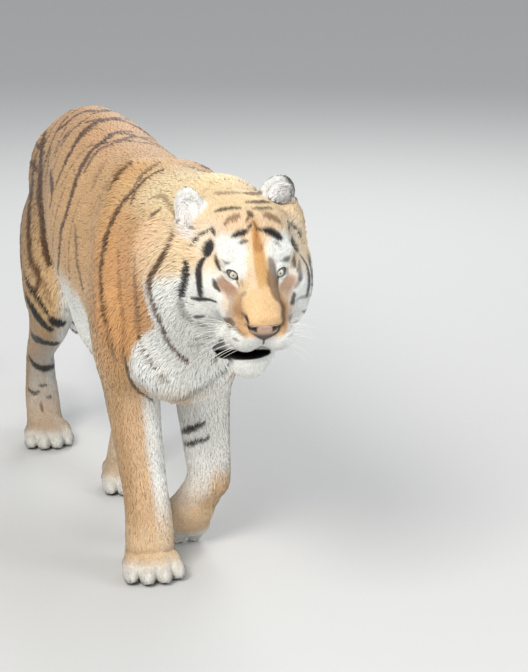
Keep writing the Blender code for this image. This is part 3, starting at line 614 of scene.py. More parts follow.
# markings of the side in view, and a few strokes of painted shade: kind, width, strength, points on the skin; those of
# the head in head coordinates
BODY_STROKES = [
    ("k", 0.0205, 0.95, [(-0.028, -0.431, 0.970), (-0.056, -0.439, 0.960), (-0.070, -0.440, 0.952), (-0.086, -0.446, 0.940), (-0.101, -0.448, 0.927), (-0.115, -0.445, 0.914), (-0.130, -0.447, 0.897), (-0.142, -0.449, 0.879), (-0.152, -0.451, 0.862), (-0.161, -0.455, 0.844), (-0.169, -0.457, 0.825), (-0.176, -0.465, 0.799), (-0.182, -0.468, 0.774), (-0.186, -0.475, 0.748), (-0.189, -0.493, 0.717), (-0.190, -0.508, 0.697), (-0.188, -0.524, 0.654)]),
    ("k", 0.0160, 0.75, [(-0.019, -0.366, 0.974), (-0.044, -0.390, 0.968), (-0.066, -0.404, 0.958), (-0.082, -0.420, 0.946), (-0.101, -0.440, 0.928), (-0.115, -0.445, 0.914)]),
    ("k", 0.0164, 0.80, [(-0.092, -0.452, 0.935), (-0.104, -0.472, 0.921), (-0.114, -0.485, 0.908)]),
    ("k", 0.0212, 0.90, [(-0.077, -0.340, 0.977), (-0.096, -0.351, 0.967), (-0.111, -0.351, 0.951), (-0.126, -0.352, 0.931), (-0.135, -0.356, 0.918)]),
    ("b", 0.0218, 0.40, [(-0.084, -0.071, 0.925), (-0.105, -0.105, 0.910), (-0.122, -0.138, 0.893), (-0.140, -0.159, 0.872)]),
    ("k", 0.0276, 0.95, [(0.027, 0.153, 0.953), (-0.002, 0.150, 0.955), (-0.032, 0.122, 0.949), (-0.065, 0.091, 0.936), (-0.089, 0.075, 0.923), (-0.110, 0.047, 0.907), (-0.126, 0.025, 0.892), (-0.142, -0.002, 0.873), (-0.155, -0.026, 0.853), (-0.166, -0.042, 0.832), (-0.176, -0.050, 0.810), (-0.185, -0.051, 0.785), (-0.191, -0.042, 0.759), (-0.195, -0.044, 0.734), (-0.197, -0.038, 0.708), (-0.197, -0.017, 0.672), (-0.188, 0.036, 0.626)]),
    ("k", 0.0189, 0.85, [(0.085, 0.157, 0.928), (0.051, 0.112, 0.943), (0.023, 0.099, 0.950), (-0.015, 0.060, 0.949), (-0.046, 0.048, 0.943), (-0.069, 0.049, 0.934), (-0.091, 0.031, 0.921), (-0.109, 0.004, 0.907), (-0.125, -0.019, 0.893)]),
    ("k", 0.0262, 0.95, [(0.051, 0.295, 0.958), (-0.010, 0.257, 0.968), (-0.033, 0.259, 0.964), (-0.056, 0.251, 0.954), (-0.075, 0.239, 0.941), (-0.099, 0.214, 0.921), (-0.112, 0.201, 0.906), (-0.129, 0.186, 0.887), (-0.147, 0.166, 0.861), (-0.163, 0.155, 0.830)]),
    ("k", 0.0175, 0.80, [(-0.043, 0.238, 0.958), (-0.075, 0.226, 0.941), (-0.102, 0.210, 0.917)]),
    ("k", 0.0233, 0.90, [(0.027, 0.387, 0.968), (-0.007, 0.381, 0.971), (-0.033, 0.423, 0.963), (-0.059, 0.430, 0.950), (-0.078, 0.434, 0.934), (-0.090, 0.459, 0.917), (-0.097, 0.478, 0.906)]),
    ("k", 0.0189, 0.80, [(-0.085, 0.347, 0.934), (-0.102, 0.346, 0.914), (-0.117, 0.353, 0.889), (-0.129, 0.333, 0.873)]),
    ("k", 0.0175, 0.80, [(-0.046, 0.326, 0.961), (-0.074, 0.321, 0.945), (-0.095, 0.322, 0.925), (-0.115, 0.322, 0.900)]),
    ("k", 0.0233, 0.70, [(-0.178, -0.155, 0.792), (-0.184, -0.187, 0.760), (-0.188, -0.213, 0.715), (-0.186, -0.238, 0.686), (-0.183, -0.247, 0.654)]),
    ("k", 0.0475, 1.00, [(-0.105, 0.613, 0.880), (-0.121, 0.566, 0.856), (-0.133, 0.518, 0.825), (-0.149, 0.455, 0.797), (-0.162, 0.406, 0.767), (-0.169, 0.361, 0.736), (-0.170, 0.334, 0.701), (-0.170, 0.325, 0.663), (-0.169, 0.314, 0.625), (-0.164, 0.302, 0.595)]),
    ("k", 0.0364, 0.95, [(-0.145, 0.326, 0.830), (-0.159, 0.244, 0.820), (-0.170, 0.177, 0.808), (-0.177, 0.155, 0.787), (-0.181, 0.168, 0.769)]),
    ("k", 0.0317, 0.95, [(-0.136, 0.578, 0.828), (-0.144, 0.571, 0.802), (-0.153, 0.557, 0.764), (-0.174, 0.464, 0.742), (-0.188, 0.424, 0.711), (-0.196, 0.400, 0.676), (-0.201, 0.382, 0.639), (-0.202, 0.365, 0.611), (-0.201, 0.347, 0.587), (-0.193, 0.322, 0.571), (-0.192, 0.306, 0.547), (-0.199, 0.301, 0.522)]),
    ("k", 0.0174, 0.90, [(-0.217, 0.361, 0.539), (-0.212, 0.330, 0.527), (-0.204, 0.305, 0.516)]),
    # painted shade: a wide brown band down the thigh
    ("b", 0.0352, 0.50, [(-0.204, 0.361, 0.595), (-0.196, 0.323, 0.565), (-0.183, 0.286, 0.530), (-0.171, 0.272, 0.492)]),
    ("k", 0.0492, 1.00, [(-0.219, 0.352, 0.492), (-0.214, 0.328, 0.476), (-0.205, 0.318, 0.458), (-0.184, 0.329, 0.423), (-0.165, 0.334, 0.404)]),
    ("k", 0.0148, 0.95, [(-0.217, 0.387, 0.552), (-0.213, 0.336, 0.528), (-0.201, 0.295, 0.502), (-0.183, 0.283, 0.471), (-0.167, 0.287, 0.449)]),
    ("k", 0.0616, 1.00, [(-0.166, 0.293, 0.442), (-0.151, 0.301, 0.430), (-0.136, 0.313, 0.420)]),
    ("k", 0.0480, 1.00, [(-0.190, 0.468, 0.351), (-0.183, 0.422, 0.352), (-0.171, 0.398, 0.352), (-0.157, 0.386, 0.351), (-0.134, 0.408, 0.338)]),
    ("k", 0.0297, 0.92, [(-0.175, 0.601, 0.251), (-0.166, 0.597, 0.237), (-0.154, 0.597, 0.224), (-0.135, 0.599, 0.217), (-0.105, 0.625, 0.215)]),
    ("k", 0.0080, 0.80, [(-0.150, 0.608, 0.166), (-0.140, 0.607, 0.166), (-0.130, 0.608, 0.166)]),
    ("k", 0.0122, 0.85, [(-0.177, 0.625, 0.152), (-0.167, 0.612, 0.145), (-0.153, 0.606, 0.148)]),
    ("k", 0.0090, 0.75, [(-0.136, 0.602, 0.132), (-0.129, 0.602, 0.131), (-0.121, 0.604, 0.129)]),
    ("b", 0.0090, 0.80, [(-0.150, 0.600, 0.116), (-0.149, 0.598, 0.105), (-0.148, 0.595, 0.093)]),
    ("k", 0.0197, 0.95, [(0.028, -0.336, 0.307), (0.036, -0.364, 0.320), (0.049, -0.380, 0.331), (0.069, -0.390, 0.343)]),
    ("k", 0.0158, 0.92, [(0.032, -0.346, 0.279), (0.045, -0.372, 0.289), (0.060, -0.384, 0.296), (0.076, -0.389, 0.304)]),
    # painted shade: a brown band in the hollow between the right shoulder and the chest
    ("b", 0.0146, 0.50, [(-0.154, -0.525, 0.816), (-0.157, -0.546, 0.774), (-0.158, -0.555, 0.730), (-0.158, -0.561, 0.697), (-0.155, -0.559, 0.656), (-0.152, -0.553, 0.616)]),
    ("b", 0.0221, 0.60, [(-0.140, -0.639, 0.829), (-0.142, -0.640, 0.784), (-0.137, -0.623, 0.734), (-0.128, -0.596, 0.668), (-0.123, -0.580, 0.628)]),
    ("k", 0.0124, 0.85, [(-0.123, -0.580, 0.628), (-0.116, -0.578, 0.604), (-0.104, -0.585, 0.578), (-0.088, -0.590, 0.550), (-0.065, -0.592, 0.520)]),
    ("b", 0.0167, 0.50, [(-0.188, -0.497, 0.718), (-0.189, -0.521, 0.677), (-0.185, -0.525, 0.631), (-0.176, -0.511, 0.591), (-0.162, -0.486, 0.547)]),
    ("b", 0.0218, 0.40, [(-0.194, -0.417, 0.711), (-0.199, -0.459, 0.686), (-0.202, -0.479, 0.644)]),
    ("k", 0.0088, 0.75, [(-0.154, -0.542, 0.597), (-0.142, -0.514, 0.553), (-0.128, -0.476, 0.504), (-0.113, -0.449, 0.473), (-0.095, -0.430, 0.449), (-0.074, -0.422, 0.430), (-0.058, -0.414, 0.411)]),
    ("k", 0.0196, 0.95, [(-0.081, -0.782, 0.930), (-0.085, -0.772, 0.904), (-0.092, -0.771, 0.878), (-0.103, -0.758, 0.851), (-0.112, -0.737, 0.827), (-0.121, -0.715, 0.800), (-0.123, -0.704, 0.775), (-0.119, -0.702, 0.752), (-0.112, -0.699, 0.728), (-0.101, -0.692, 0.702), (-0.091, -0.682, 0.676), (-0.080, -0.665, 0.647), (-0.069, -0.656, 0.625), (-0.055, -0.653, 0.607), (-0.041, -0.649, 0.591), (-0.029, -0.646, 0.579)]),
    # painted shade: a grey line in the crease along the bottom of the chest
    ("g", 0.0190, 0.55, [(-0.041, -0.554, 0.461), (-0.021, -0.573, 0.472), (-0.002, -0.589, 0.489), (0.020, -0.596, 0.504), (0.043, -0.600, 0.522), (0.056, -0.599, 0.532)]),
    ("k", 0.0152, 0.80, [(-0.107, -0.651, 0.917), (-0.098, -0.670, 0.927), (-0.089, -0.681, 0.938)]),
    ("b", 0.0117, 0.60, [(-0.100, -0.583, 0.930), (-0.087, -0.596, 0.945), (-0.078, -0.636, 0.955), (-0.075, -0.690, 0.953), (-0.076, -0.730, 0.941), (-0.081, -0.782, 0.930)]),
]
HEAD_STROKES = [
    ("k", 0.0253, 0.98, [(-0.133, 0.091, -0.012), (-0.134, 0.082, -0.027), (-0.137, 0.078, -0.046), (-0.140, 0.081, -0.069), (-0.144, 0.088, -0.092)]),
    ("g", 0.0208, 0.60, [(-0.144, 0.087, -0.082), (-0.142, 0.087, -0.101), (-0.139, 0.093, -0.123), (-0.132, 0.094, -0.139)]),
    ("k", 0.0288, 0.98, [(-0.103, 0.055, 0.006), (-0.110, 0.050, -0.003), (-0.115, 0.041, -0.013), (-0.116, 0.027, -0.022), (-0.116, 0.017, -0.039), (-0.114, 0.016, -0.060)]),
    ("k", 0.0112, 0.97, [(-0.128, 0.052, -0.079), (-0.114, 0.018, -0.065), (-0.099, -0.003, -0.056), (-0.085, -0.016, -0.057)]),
    # painted shade: a broad grey patch on the lower cheek
    ("g", 0.0467, 0.45, [(-0.141, 0.094, -0.119), (-0.134, 0.093, -0.133), (-0.128, 0.090, -0.141)]),
    ("k", 0.0098, 0.85, [(-0.121, 0.062, -0.129), (-0.113, 0.035, -0.115), (-0.105, 0.019, -0.105)]),
    ("k", 0.0086, 0.88, [(-0.126, 0.098, 0.012), (-0.117, 0.099, 0.028), (-0.105, 0.099, 0.044), (-0.089, 0.090, 0.059), (-0.081, 0.083, 0.067)]),
    ("k", 0.0107, 0.92, [(-0.081, 0.083, 0.067), (-0.079, 0.075, 0.064), (-0.077, 0.066, 0.060)]),
    ("k", 0.0387, 0.97, [(-0.087, 0.067, 0.033), (-0.088, 0.063, 0.027), (-0.088, 0.057, 0.022)]),
    ("k", 0.0111, 0.92, [(-0.081, 0.021, 0.032), (-0.080, 0.013, 0.023), (-0.076, 0.004, 0.009)]),
    ("b", 0.0051, 0.70, [(-0.076, 0.004, 0.008), (-0.068, 0.001, 0.004), (-0.061, -0.008, 0.006)]),
    ("k", 0.0100, 0.88, [(-0.090, -0.002, -0.012), (-0.087, -0.010, -0.022), (-0.078, -0.018, -0.031)]),
    # painted shade: a grey line on the lower cheek near the corner of the lips
    ("g", 0.0148, 0.55, [(-0.111, 0.068, -0.150), (-0.102, 0.039, -0.138), (-0.090, 0.027, -0.135)]),
    ("g", 0.0141, 0.50, [(-0.120, 0.149, -0.217), (-0.101, 0.128, -0.212), (-0.080, 0.100, -0.196)]),
    ("g", 0.0134, 0.45, [(-0.126, 0.179, -0.250), (-0.104, 0.170, -0.251), (-0.085, 0.145, -0.234)]),
    ("b", 0.0170, 0.55, [(-0.064, 0.166, 0.110), (-0.040, 0.154, 0.115), (-0.014, 0.144, 0.118)]),
    ("b", 0.0211, 0.85, [(-0.005, 0.144, 0.117), (0.012, 0.144, 0.116), (0.027, 0.143, 0.117)]),
    ("k", 0.0183, 0.85, [(-0.004, 0.104, 0.114), (0.018, 0.105, 0.113), (0.041, 0.116, 0.106)]),
    ("k", 0.0118, 0.85, [(-0.070, 0.110, 0.093), (-0.055, 0.103, 0.100), (-0.039, 0.095, 0.105), (-0.023, 0.087, 0.108)]),
    ("k", 0.0113, 0.75, [(0.003, 0.080, 0.109), (0.023, 0.084, 0.107), (0.044, 0.094, 0.102)]),
    ("b", 0.0155, 0.75, [(-0.055, 0.066, 0.085), (-0.048, 0.068, 0.091), (-0.039, 0.069, 0.096), (-0.028, 0.068, 0.100)]),
    ("b", 0.0096, 0.60, [(-0.042, 0.059, 0.090), (-0.033, 0.062, 0.096), (-0.027, 0.063, 0.098)]),
    ("b", 0.0181, 0.75, [(0.024, 0.063, 0.099), (0.040, 0.067, 0.095), (0.049, 0.066, 0.089), (0.057, 0.063, 0.082)]),
    ("k", 0.0131, 0.85, [(-0.009, 0.071, 0.106), (-0.005, 0.066, 0.103), (-0.002, 0.060, 0.101)]),
    ("b", 0.0087, 0.85, [(-0.014, 0.050, 0.094), (-0.011, 0.055, 0.098), (-0.008, 0.061, 0.101)]),
    ("o", 0.0100, 0.85, [(0.003, 0.041, 0.089), (0.002, 0.023, 0.078), (0.000, 0.009, 0.065)]),
    ("o", 0.0181, 0.75, [(-0.002, 0.007, 0.063), (0.004, 0.002, 0.058), (0.003, -0.002, 0.053)]),
    ("b", 0.0079, 0.80, [(-0.001, 0.049, 0.095), (0.002, 0.041, 0.089), (0.007, 0.032, 0.084)]),
    ("k", 0.0091, 0.90, [(-0.012, 0.033, 0.084), (-0.009, 0.039, 0.088), (-0.006, 0.043, 0.091)]),
    ("k", 0.0159, 0.98, [(-0.046, 0.031, 0.070), (-0.035, 0.030, 0.075), (-0.025, 0.029, 0.078), (-0.014, 0.031, 0.083)]),
    ("k", 0.0105, 0.85, [(-0.034, 0.015, 0.062), (-0.027, 0.014, 0.065), (-0.018, 0.013, 0.067)]),
    ("k", 0.0238, 1.00, [(0.022, 0.032, 0.082), (0.033, 0.031, 0.077), (0.044, 0.030, 0.071), (0.053, 0.031, 0.064)]),
    ("k", 0.0104, 0.85, [(0.005, 0.033, 0.084), (0.014, 0.031, 0.083), (0.022, 0.031, 0.081)]),
    ("g", 0.0071, 0.70, [(0.035, 0.014, 0.061), (0.045, 0.016, 0.057), (0.053, 0.014, 0.050)]),
    ("g", 0.0064, 0.75, [(-0.068, 0.005, 0.029), (-0.063, 0.002, 0.025), (-0.056, -0.001, 0.027)]),
    ("g", 0.0121, 0.85, [(0.060, 0.001, 0.028), (0.065, 0.003, 0.027), (0.070, 0.005, 0.026)]),
    ("k", 0.0291, 0.85, [(0.088, 0.073, 0.025), (0.091, 0.072, 0.019), (0.093, 0.069, 0.016)]),
    ("k", 0.0113, 0.85, [(0.079, 0.013, 0.025), (0.081, 0.011, 0.015), (0.082, 0.005, 0.006)]),
    ("g", 0.0125, 0.85, [(0.094, 0.020, 0.010), (0.093, 0.005, -0.003), (0.093, -0.005, -0.020)]),
    ("k", 0.0192, 0.85, [(0.080, -0.023, -0.045), (0.074, -0.040, -0.046), (0.067, -0.056, -0.047)]),
    ("b", 0.0114, 0.35, [(-0.037, -0.036, -0.000), (-0.035, -0.046, -0.000), (-0.034, -0.055, -0.003)]),
    ("b", 0.0273, 0.40, [(-0.075, -0.008, -0.012), (-0.062, -0.024, -0.021), (-0.055, -0.046, -0.027), (-0.052, -0.062, -0.038), (-0.058, -0.070, -0.055), (-0.065, -0.065, -0.071)]),
    ("b", 0.0208, 0.42, [(-0.040, -0.066, -0.025), (-0.045, -0.067, -0.038), (-0.045, -0.077, -0.050), (-0.040, -0.094, -0.055)]),
    # painted shade: brown down the left side of the nose bridge, in these three strokes
    ("b", 0.0150, 0.80, [(0.043, -0.021, -0.007), (0.035, -0.051, -0.001), (0.030, -0.068, -0.002)]),
    ("b", 0.0359, 0.75, [(0.029, -0.014, 0.030), (0.031, -0.027, 0.018), (0.029, -0.053, 0.007), (0.031, -0.071, -0.005), (0.034, -0.085, -0.017), (0.043, -0.073, -0.042)]),
    ("b", 0.0165, 0.80, [(0.047, -0.070, -0.044), (0.047, -0.079, -0.056), (0.041, -0.104, -0.062), (0.033, -0.118, -0.068)]),
    # painted shade: a thin brown line under the pale fur below the right eye
    ("b", 0.0055, 0.60, [(-0.074, -0.001, -0.002), (-0.067, -0.008, -0.010), (-0.059, -0.016, -0.016)]),
    ("b", 0.0214, 0.45, [(-0.035, -0.074, -0.012), (-0.042, -0.062, -0.029), (-0.049, -0.065, -0.039), (-0.050, -0.072, -0.049), (-0.041, -0.086, -0.052)]),
    ("b", 0.0108, 0.85, [(-0.041, -0.085, -0.051), (-0.037, -0.111, -0.045), (-0.034, -0.123, -0.047)]),
    ("k", 0.0084, 0.92, [(-0.037, -0.114, -0.045), (-0.033, -0.126, -0.051), (-0.028, -0.122, -0.069), (-0.016, -0.128, -0.082), (-0.002, -0.126, -0.093)]),
    ("k", 0.0087, 0.92, [(0.001, -0.126, -0.094), (0.014, -0.128, -0.084), (0.027, -0.125, -0.077), (0.033, -0.119, -0.069)]),
    ("b", 0.0197, 0.80, [(-0.069, -0.044, -0.087), (-0.065, -0.062, -0.082), (-0.058, -0.093, -0.075)]),
    ("b", 0.0101, 0.60, [(-0.060, -0.087, -0.076), (-0.054, -0.110, -0.076), (-0.046, -0.122, -0.080)]),
    ("b", 0.0072, 0.60, [(-0.063, -0.112, -0.093), (-0.058, -0.120, -0.093), (-0.052, -0.125, -0.093)]),
]


# ---------------------------------------------------------------- colours, markings and painted shade
def rgb(r, g, b):
    """A colour as the eye sees it, 0 to 255, in linear light."""
    c = np.array((r, g, b)) / 255
    return np.where(c <= 0.04045, c / 12.92, ((c + 0.055) / 1.055) ** 2.4)


TAN, ORANGE, SADDLE = rgb(204, 162, 112), rgb(208, 154, 100), rgb(198, 154, 110)
CREAM, STRAW, WHITE = rgb(236, 212, 166), rgb(240, 222, 186), rgb(238, 238, 232)
BLACK, BROWN, GREY = rgb(20, 16, 15), rgb(116, 80, 52), rgb(112, 108, 104)
UMBER = rgb(86, 57, 32)
RUST, GROOVE_SHADE, PINK = rgb(186, 128, 70), rgb(120, 98, 84), rgb(176, 116, 100)


def noise(p, size, seed=0):
    """Smooth noise from -1 to 1, of the same value at the same place every time."""
    q = p / size + 1000.5 + seed * 17.3
    i = np.floor(q).astype(np.int64)
    f = q - i
    f = f * f * (3 - 2 * f)
    out = np.zeros(len(p))
    for a in (0, 1):
        for b in (0, 1):
            for c in (0, 1):
                h = (i[:, 0] + a) * 73856093 ^ (i[:, 1] + b) * 19349663 ^ (i[:, 2] + c) * 83492791
                h = (h ^ (h >> 13)) * 1274126177 & 0x7fffffff
                w = (f[:, 0] if a else 1 - f[:, 0]) * (f[:, 1] if b else 1 - f[:, 1]) * (f[:, 2] if c else 1 - f[:, 2])
                out += w * (h % 65536 / 32768.0 - 1)
    return out


class Stroke:
    """One marking, or one stroke of painted shade: a line of points on the skin, its width in metres and its strength.
    """
    def __init__(self, kind, width, strength, points, ends=(0.0, 1.0)):
        self.kind, self.width, self.strength, self.fine = kind, width, strength, width < 0.0125
        p = np.array(points, float)
        if len(p) > 2:
            p = curve(np.c_[p, np.zeros((len(p), 2))], 0.004)[:, :3]
        elif len(p) == 2:
            n = max(2, int(np.linalg.norm(p[1] - p[0]) / 0.004))
            p = p[0] + (p[1] - p[0]) * np.linspace(0, 1, n)[:, None]
        self.p = p
        t = np.linspace(0, 1, len(p))
        self.w = width * (0.42 + 0.58 * np.sin(np.pi * np.clip(t, 0.03, 0.97)) ** 0.6) / 2
        self.lo, self.hi = p.min(0) - width - 0.012, p.max(0) + width + 0.012

    def mask(self, p, rag):
        near = np.nonzero(((p > self.lo) & (p < self.hi)).all(1))[0]
        if not len(near):
            return near, None
        q = p[near]
        best = np.full(len(q), -1.0)
        for i in range(0, len(self.p), 24):
            d = np.sqrt(((q[:, None] - self.p[None, i:i + 24]) ** 2).sum(2))
            best = np.maximum(best, (self.w[None, i:i + 24] - d).max(1))
        edge = 0.0012 + 0.10 * self.width
        v = step(best + rag[near] * min(0.0035, (0.12 if self.fine else 0.26) * self.width), -edge, edge)
        return near, v * self.strength


def ellipse(h, c, r, soft=0.35):
    """1 inside an ellipsoid, fading out over `soft` of its size."""
    a = np.sqrt((((h - vec(*c)) / vec(*r)) ** 2).sum(1))
    return 1 - step(a, 1 - soft, 1 + soft)


def both(h, c, r, soft=0.35):
    m = h.copy()
    m[:, 0] = np.abs(m[:, 0])
    return ellipse(m, c, r, soft)


def blend(c, colour, w):
    return c + (colour - c) * np.clip(w, 0, 1)[:, None]


BIB_LINE = np.array([(0.30, -0.50), (0.55, -0.630), (0.60, -0.630), (0.65, -0.642), (0.70, -0.660), (0.75, -0.684), (0.80, -0.712), (0.85, -0.760), (0.88, -0.785), (0.93, -0.81), (1.1, -0.9)])
CHEST_SIDE = np.array([(0.36, 0.040), (0.41, 0.057), (0.43, 0.073), (0.45, 0.094), (0.472, 0.112), (0.505, 0.130), (0.553, 0.140), (0.60, 0.136), (0.628, 0.122), (0.66, 0.108), (0.70, 0.095)])


def base_colour(p, n):
    """Ground colour of the coat, without stripes, with painted shade over the haunch, the hind shanks, the sides of the
    nose bridge and the groove beside it, and a painted highlight on the lower bridge.
    """
    x, y, z = p.T
    r = np.abs(x)
    big, small = noise(p, 0.16, 1), noise(p, 0.045, 2)
    c = np.broadcast_to(TAN, p.shape).copy()
    c = blend(c, SADDLE, step(z, 0.86, 0.96) * step(y, -0.25, 0.1))
    c = blend(c, ORANGE, step(-y, 0.30, 0.50) * step(z, 0.45, 0.62) * (1 - step(z, 0.80, 0.94)) * 0.9)
    c = blend(c, CREAM, step(-y, 0.36, 0.56) * step(z, 0.88, 0.95) * 0.9)
    c = blend(c, CREAM, step(-y, 0.60, 0.72) * step(z, 0.74, 0.84) * 0.75)
    c = blend(c, CREAM, 0.30 * (1 - step(z, 0.55, 0.72)) * (y > -0.4))
    # painted shade: everything behind the middle and below the line of the back darkened to a brown grey
    c = blend(c, rgb(170, 138, 102), step(y, 0.22, 0.40) * (1 - step(z, 0.80, 0.92)) * 0.8)
    c = blend(c, rgb(232, 194, 154), step(-y, 0.58, 0.68) * step(z, 0.74, 0.82) * (1 - step(z, 0.90, 0.94)) * 0.85)
    # belly, groin
    top = np.interp(y, (-0.3, -0.2, -0.05, 0.1, 0.2, 0.35, 0.5, 0.65), (0.55, 0.625, 0.645, 0.625, 0.595, 0.57, 0.60, 0.66))
    trunk = (z > 0.36) * (y < 0.70) * step(y, -0.30, -0.20)
    under = step(top + 0.014 * big + 0.010 * small - z, -0.040, 0.040) * step(-n[:, 2], -0.55, 0.15)
    c = blend(c, WHITE, under * trunk * (1 - step(r, 0.125, 0.165) * (y > 0.22)))
    # bib: chest, throat and sides of the neck
    line = np.interp(z, BIB_LINE[:, 0], BIB_LINE[:, 1])
    bib = step(line - y + 0.008 * small, -0.014, 0.022) * (z > 0.40)
    c = blend(c, WHITE, bib * (1 - step(z + 0.008 * small, 0.745, 0.840)))
    side = np.interp(z, CHEST_SIDE[:, 0], CHEST_SIDE[:, 1])
    front = step(side - r, -0.006, 0.012) * step(-y, 0.36, 0.42) * (z > 0.38) * (z < 0.72) * step(-n[:, 1], -0.25, 0.15)
    c = blend(c, WHITE, front)
    # legs: pale inside and behind, tan outside, whitish toes
    low = 1 - step(z, 0.42, 0.52)
    left_fore = (x > 0.0) & (y < -0.1)
    inward = np.where(x > 0, -n[:, 0], n[:, 0])
    inner = step(inward - 0.16 * np.minimum(n[:, 1], 0) * (y < -0.1), 0.08, 0.50) * np.where(z > 0.24, 1.0, 0.35 + 0.65 * step(z, 0.10, 0.24))
    c = blend(c, rgb(186, 152, 114), 0.8 * low * (y < -0.1))
    c = blend(c, rgb(218, 182, 144), low * (y < -0.1) * step(-n[:, 1] + 0.6 * inward, 0.15, 0.95) * 0.75)
    c = blend(c, WHITE, low * inner * 0.95)
    # hind shanks grey on their front and inner faces: their pale hair with painted shade over it
    c = blend(c, rgb(190, 186, 178), low * (y > 0.0) * (1 - step(z, 0.30, 0.40)) * step(z, 0.06, 0.12) * step(-n[:, 1] + 0.4 * inward, -0.3, 0.5) * 0.75)
    c = blend(c, rgb(232, 202, 162), (1 - step(z, 0.08, 0.16)) * 0.65 * (y < 0.0))
    c = blend(c, rgb(208, 186, 162), (1 - step(z, 0.10, 0.17)) * 0.7 * (y > 0.0))
    c = blend(c, WHITE, (1 - step(z, 0.030, 0.060)) * 0.85)
    c = blend(c, WHITE, left_fore * low * step(-n[:, 1] - 0.4 * n[:, 0], -0.25, 0.35) * step(z, 0.17, 0.25) * 0.92)
    c = blend(c, WHITE, (y > 0.5) * (z > 0.5) * step(y, 0.62, 0.70) * (1 - step(r, 0.03, 0.075)) * (1 - step(z, 0.72, 0.80)) * (1 - step(y, 0.745, 0.775)))
    # tail
    tail = step(y, 0.70, 0.745)
    c = blend(c, WHITE, tail * step(-n[:, 2] * (y > 0.86) - n[:, 1] * (y < 0.90), 0.10, 0.65))
    # head
    h = to_head(p)
    on = step(-h[:, 1], -0.235, -0.175) * (y < -0.66) * (h[:, 2] > -0.235)
    hx = np.abs(h[:, 0])
    f = np.broadcast_to(rgb(232, 204, 164), p.shape).copy()
    f = blend(f, rgb(230, 206, 160), step(h[:, 2], 0.085, 0.12) * 0.7)
    f = blend(f, rgb(232, 198, 166), ellipse(h, (-0.02, 0.05, 0.075), (0.07, 0.06, 0.035), 0.6) * 0.6)
    f = blend(f, WHITE, step(0.012 - h[:, 2] - 0.95 * np.maximum(hx - 0.095, 0), -0.014, 0.030) * step(hx, 0.040, 0.062))   # cheeks
    f = blend(f, WHITE, both(h, (0.050, 0.020, 0.046), (0.033, 0.060, 0.028), 0.30))                                   # over the eyes
    f = blend(f, WHITE, both(h, (0.085, 0.080, 0.040), (0.034, 0.050, 0.036), 0.5) * 0.35)                             # temples
    f = blend(f, WHITE, both(h, (0.044, -0.006, 0.014), (0.032, 0.040, 0.022), 0.3))                                   # round the eyes
    f = blend(f, WHITE, step(-h[:, 2], 0.066, 0.090) * step(-h[:, 1], -0.06, 0.0))                                     # muzzle and chin
    f = blend(f, rgb(216, 188, 158), both(h, (0.056, -0.045, -0.050), (0.019, 0.048, 0.026), 0.5) * 0.8)
    f = blend(f, rgb(190, 150, 120), both(h, (0.064, -0.016, -0.019), (0.024, 0.052, 0.014), 0.5) * 0.9)
    # bridge of the nose
    half = np.interp(h[:, 2], (-0.095, -0.085, -0.070, -0.045, -0.028, -0.012, 0.0, 0.03, 0.06, 0.09), (0.030, 0.042, 0.053, 0.056, 0.048, 0.029, 0.021, 0.017, 0.012, 0.006))
    nose = (1 - step(hx + 0.002 * small, half - 0.004, half + 0.006)) * step(-h[:, 1], -0.075, -0.03) * step(h[:, 2], -0.094, -0.076)
    hs = h[:, 0]
    gold = step(hs, -0.012, -0.004) * (1 - step(hs, 0.016, 0.024))
    high = step(h[:, 2], -0.012, 0.012)
    f = blend(f, rgb(234, 204, 170), nose * high)
    f = blend(f, rgb(208, 164, 104), nose * high * gold * 0.92)
    f = blend(f, rgb(196, 146, 88), nose * gold * step(h[:, 2], 0.010, 0.040) * 0.55)
    # the lower bridge light cream-orange: its own orange lightened by a painted highlight
    f = blend(f, rgb(240, 200, 150), nose * (1 - high) * 0.95)
    f = blend(f, rgb(226, 184, 146), nose * (1 - step(h[:, 2], -0.085, -0.066)) * 0.6)
    # painted shade on the sides of the lower bridge
    f = blend(f, rgb(178, 132, 86), nose * step(hx, 0.030, 0.046) * step(-h[:, 2], 0.015, 0.05) * 0.6)
    # beside the nose, under the eyes
    # painted shade: a dusky streak in the groove between the bridge of the nose and the whisker pad
    f = blend(f, GROOVE_SHADE, both(h, (0.028, -0.058, -0.060), (0.010, 0.060, 0.022), 0.7) * 0.35)
    f = blend(f, rgb(188, 146, 106), both(h, (0.042, -0.060, -0.074), (0.014, 0.040, 0.020), 0.7) * 0.6)
    f = blend(f, BROWN, both(h, (0.058, -0.066, -0.082), (0.012, 0.026, 0.012), 0.6) * 0.65)
    c = blend(c, f, on)
    c = blend(c, rgb(232, 222, 214), ellipse(h, (-0.130, 0.132, 0.046), (0.019, 0.05, 0.020), 0.4) * 0.9)             # pale patch and spot below the ear
    c = blend(c, GREY, ellipse(h, (-0.124, 0.133, 0.053), (0.011, 0.05, 0.0045), 0.4) * 0.85)
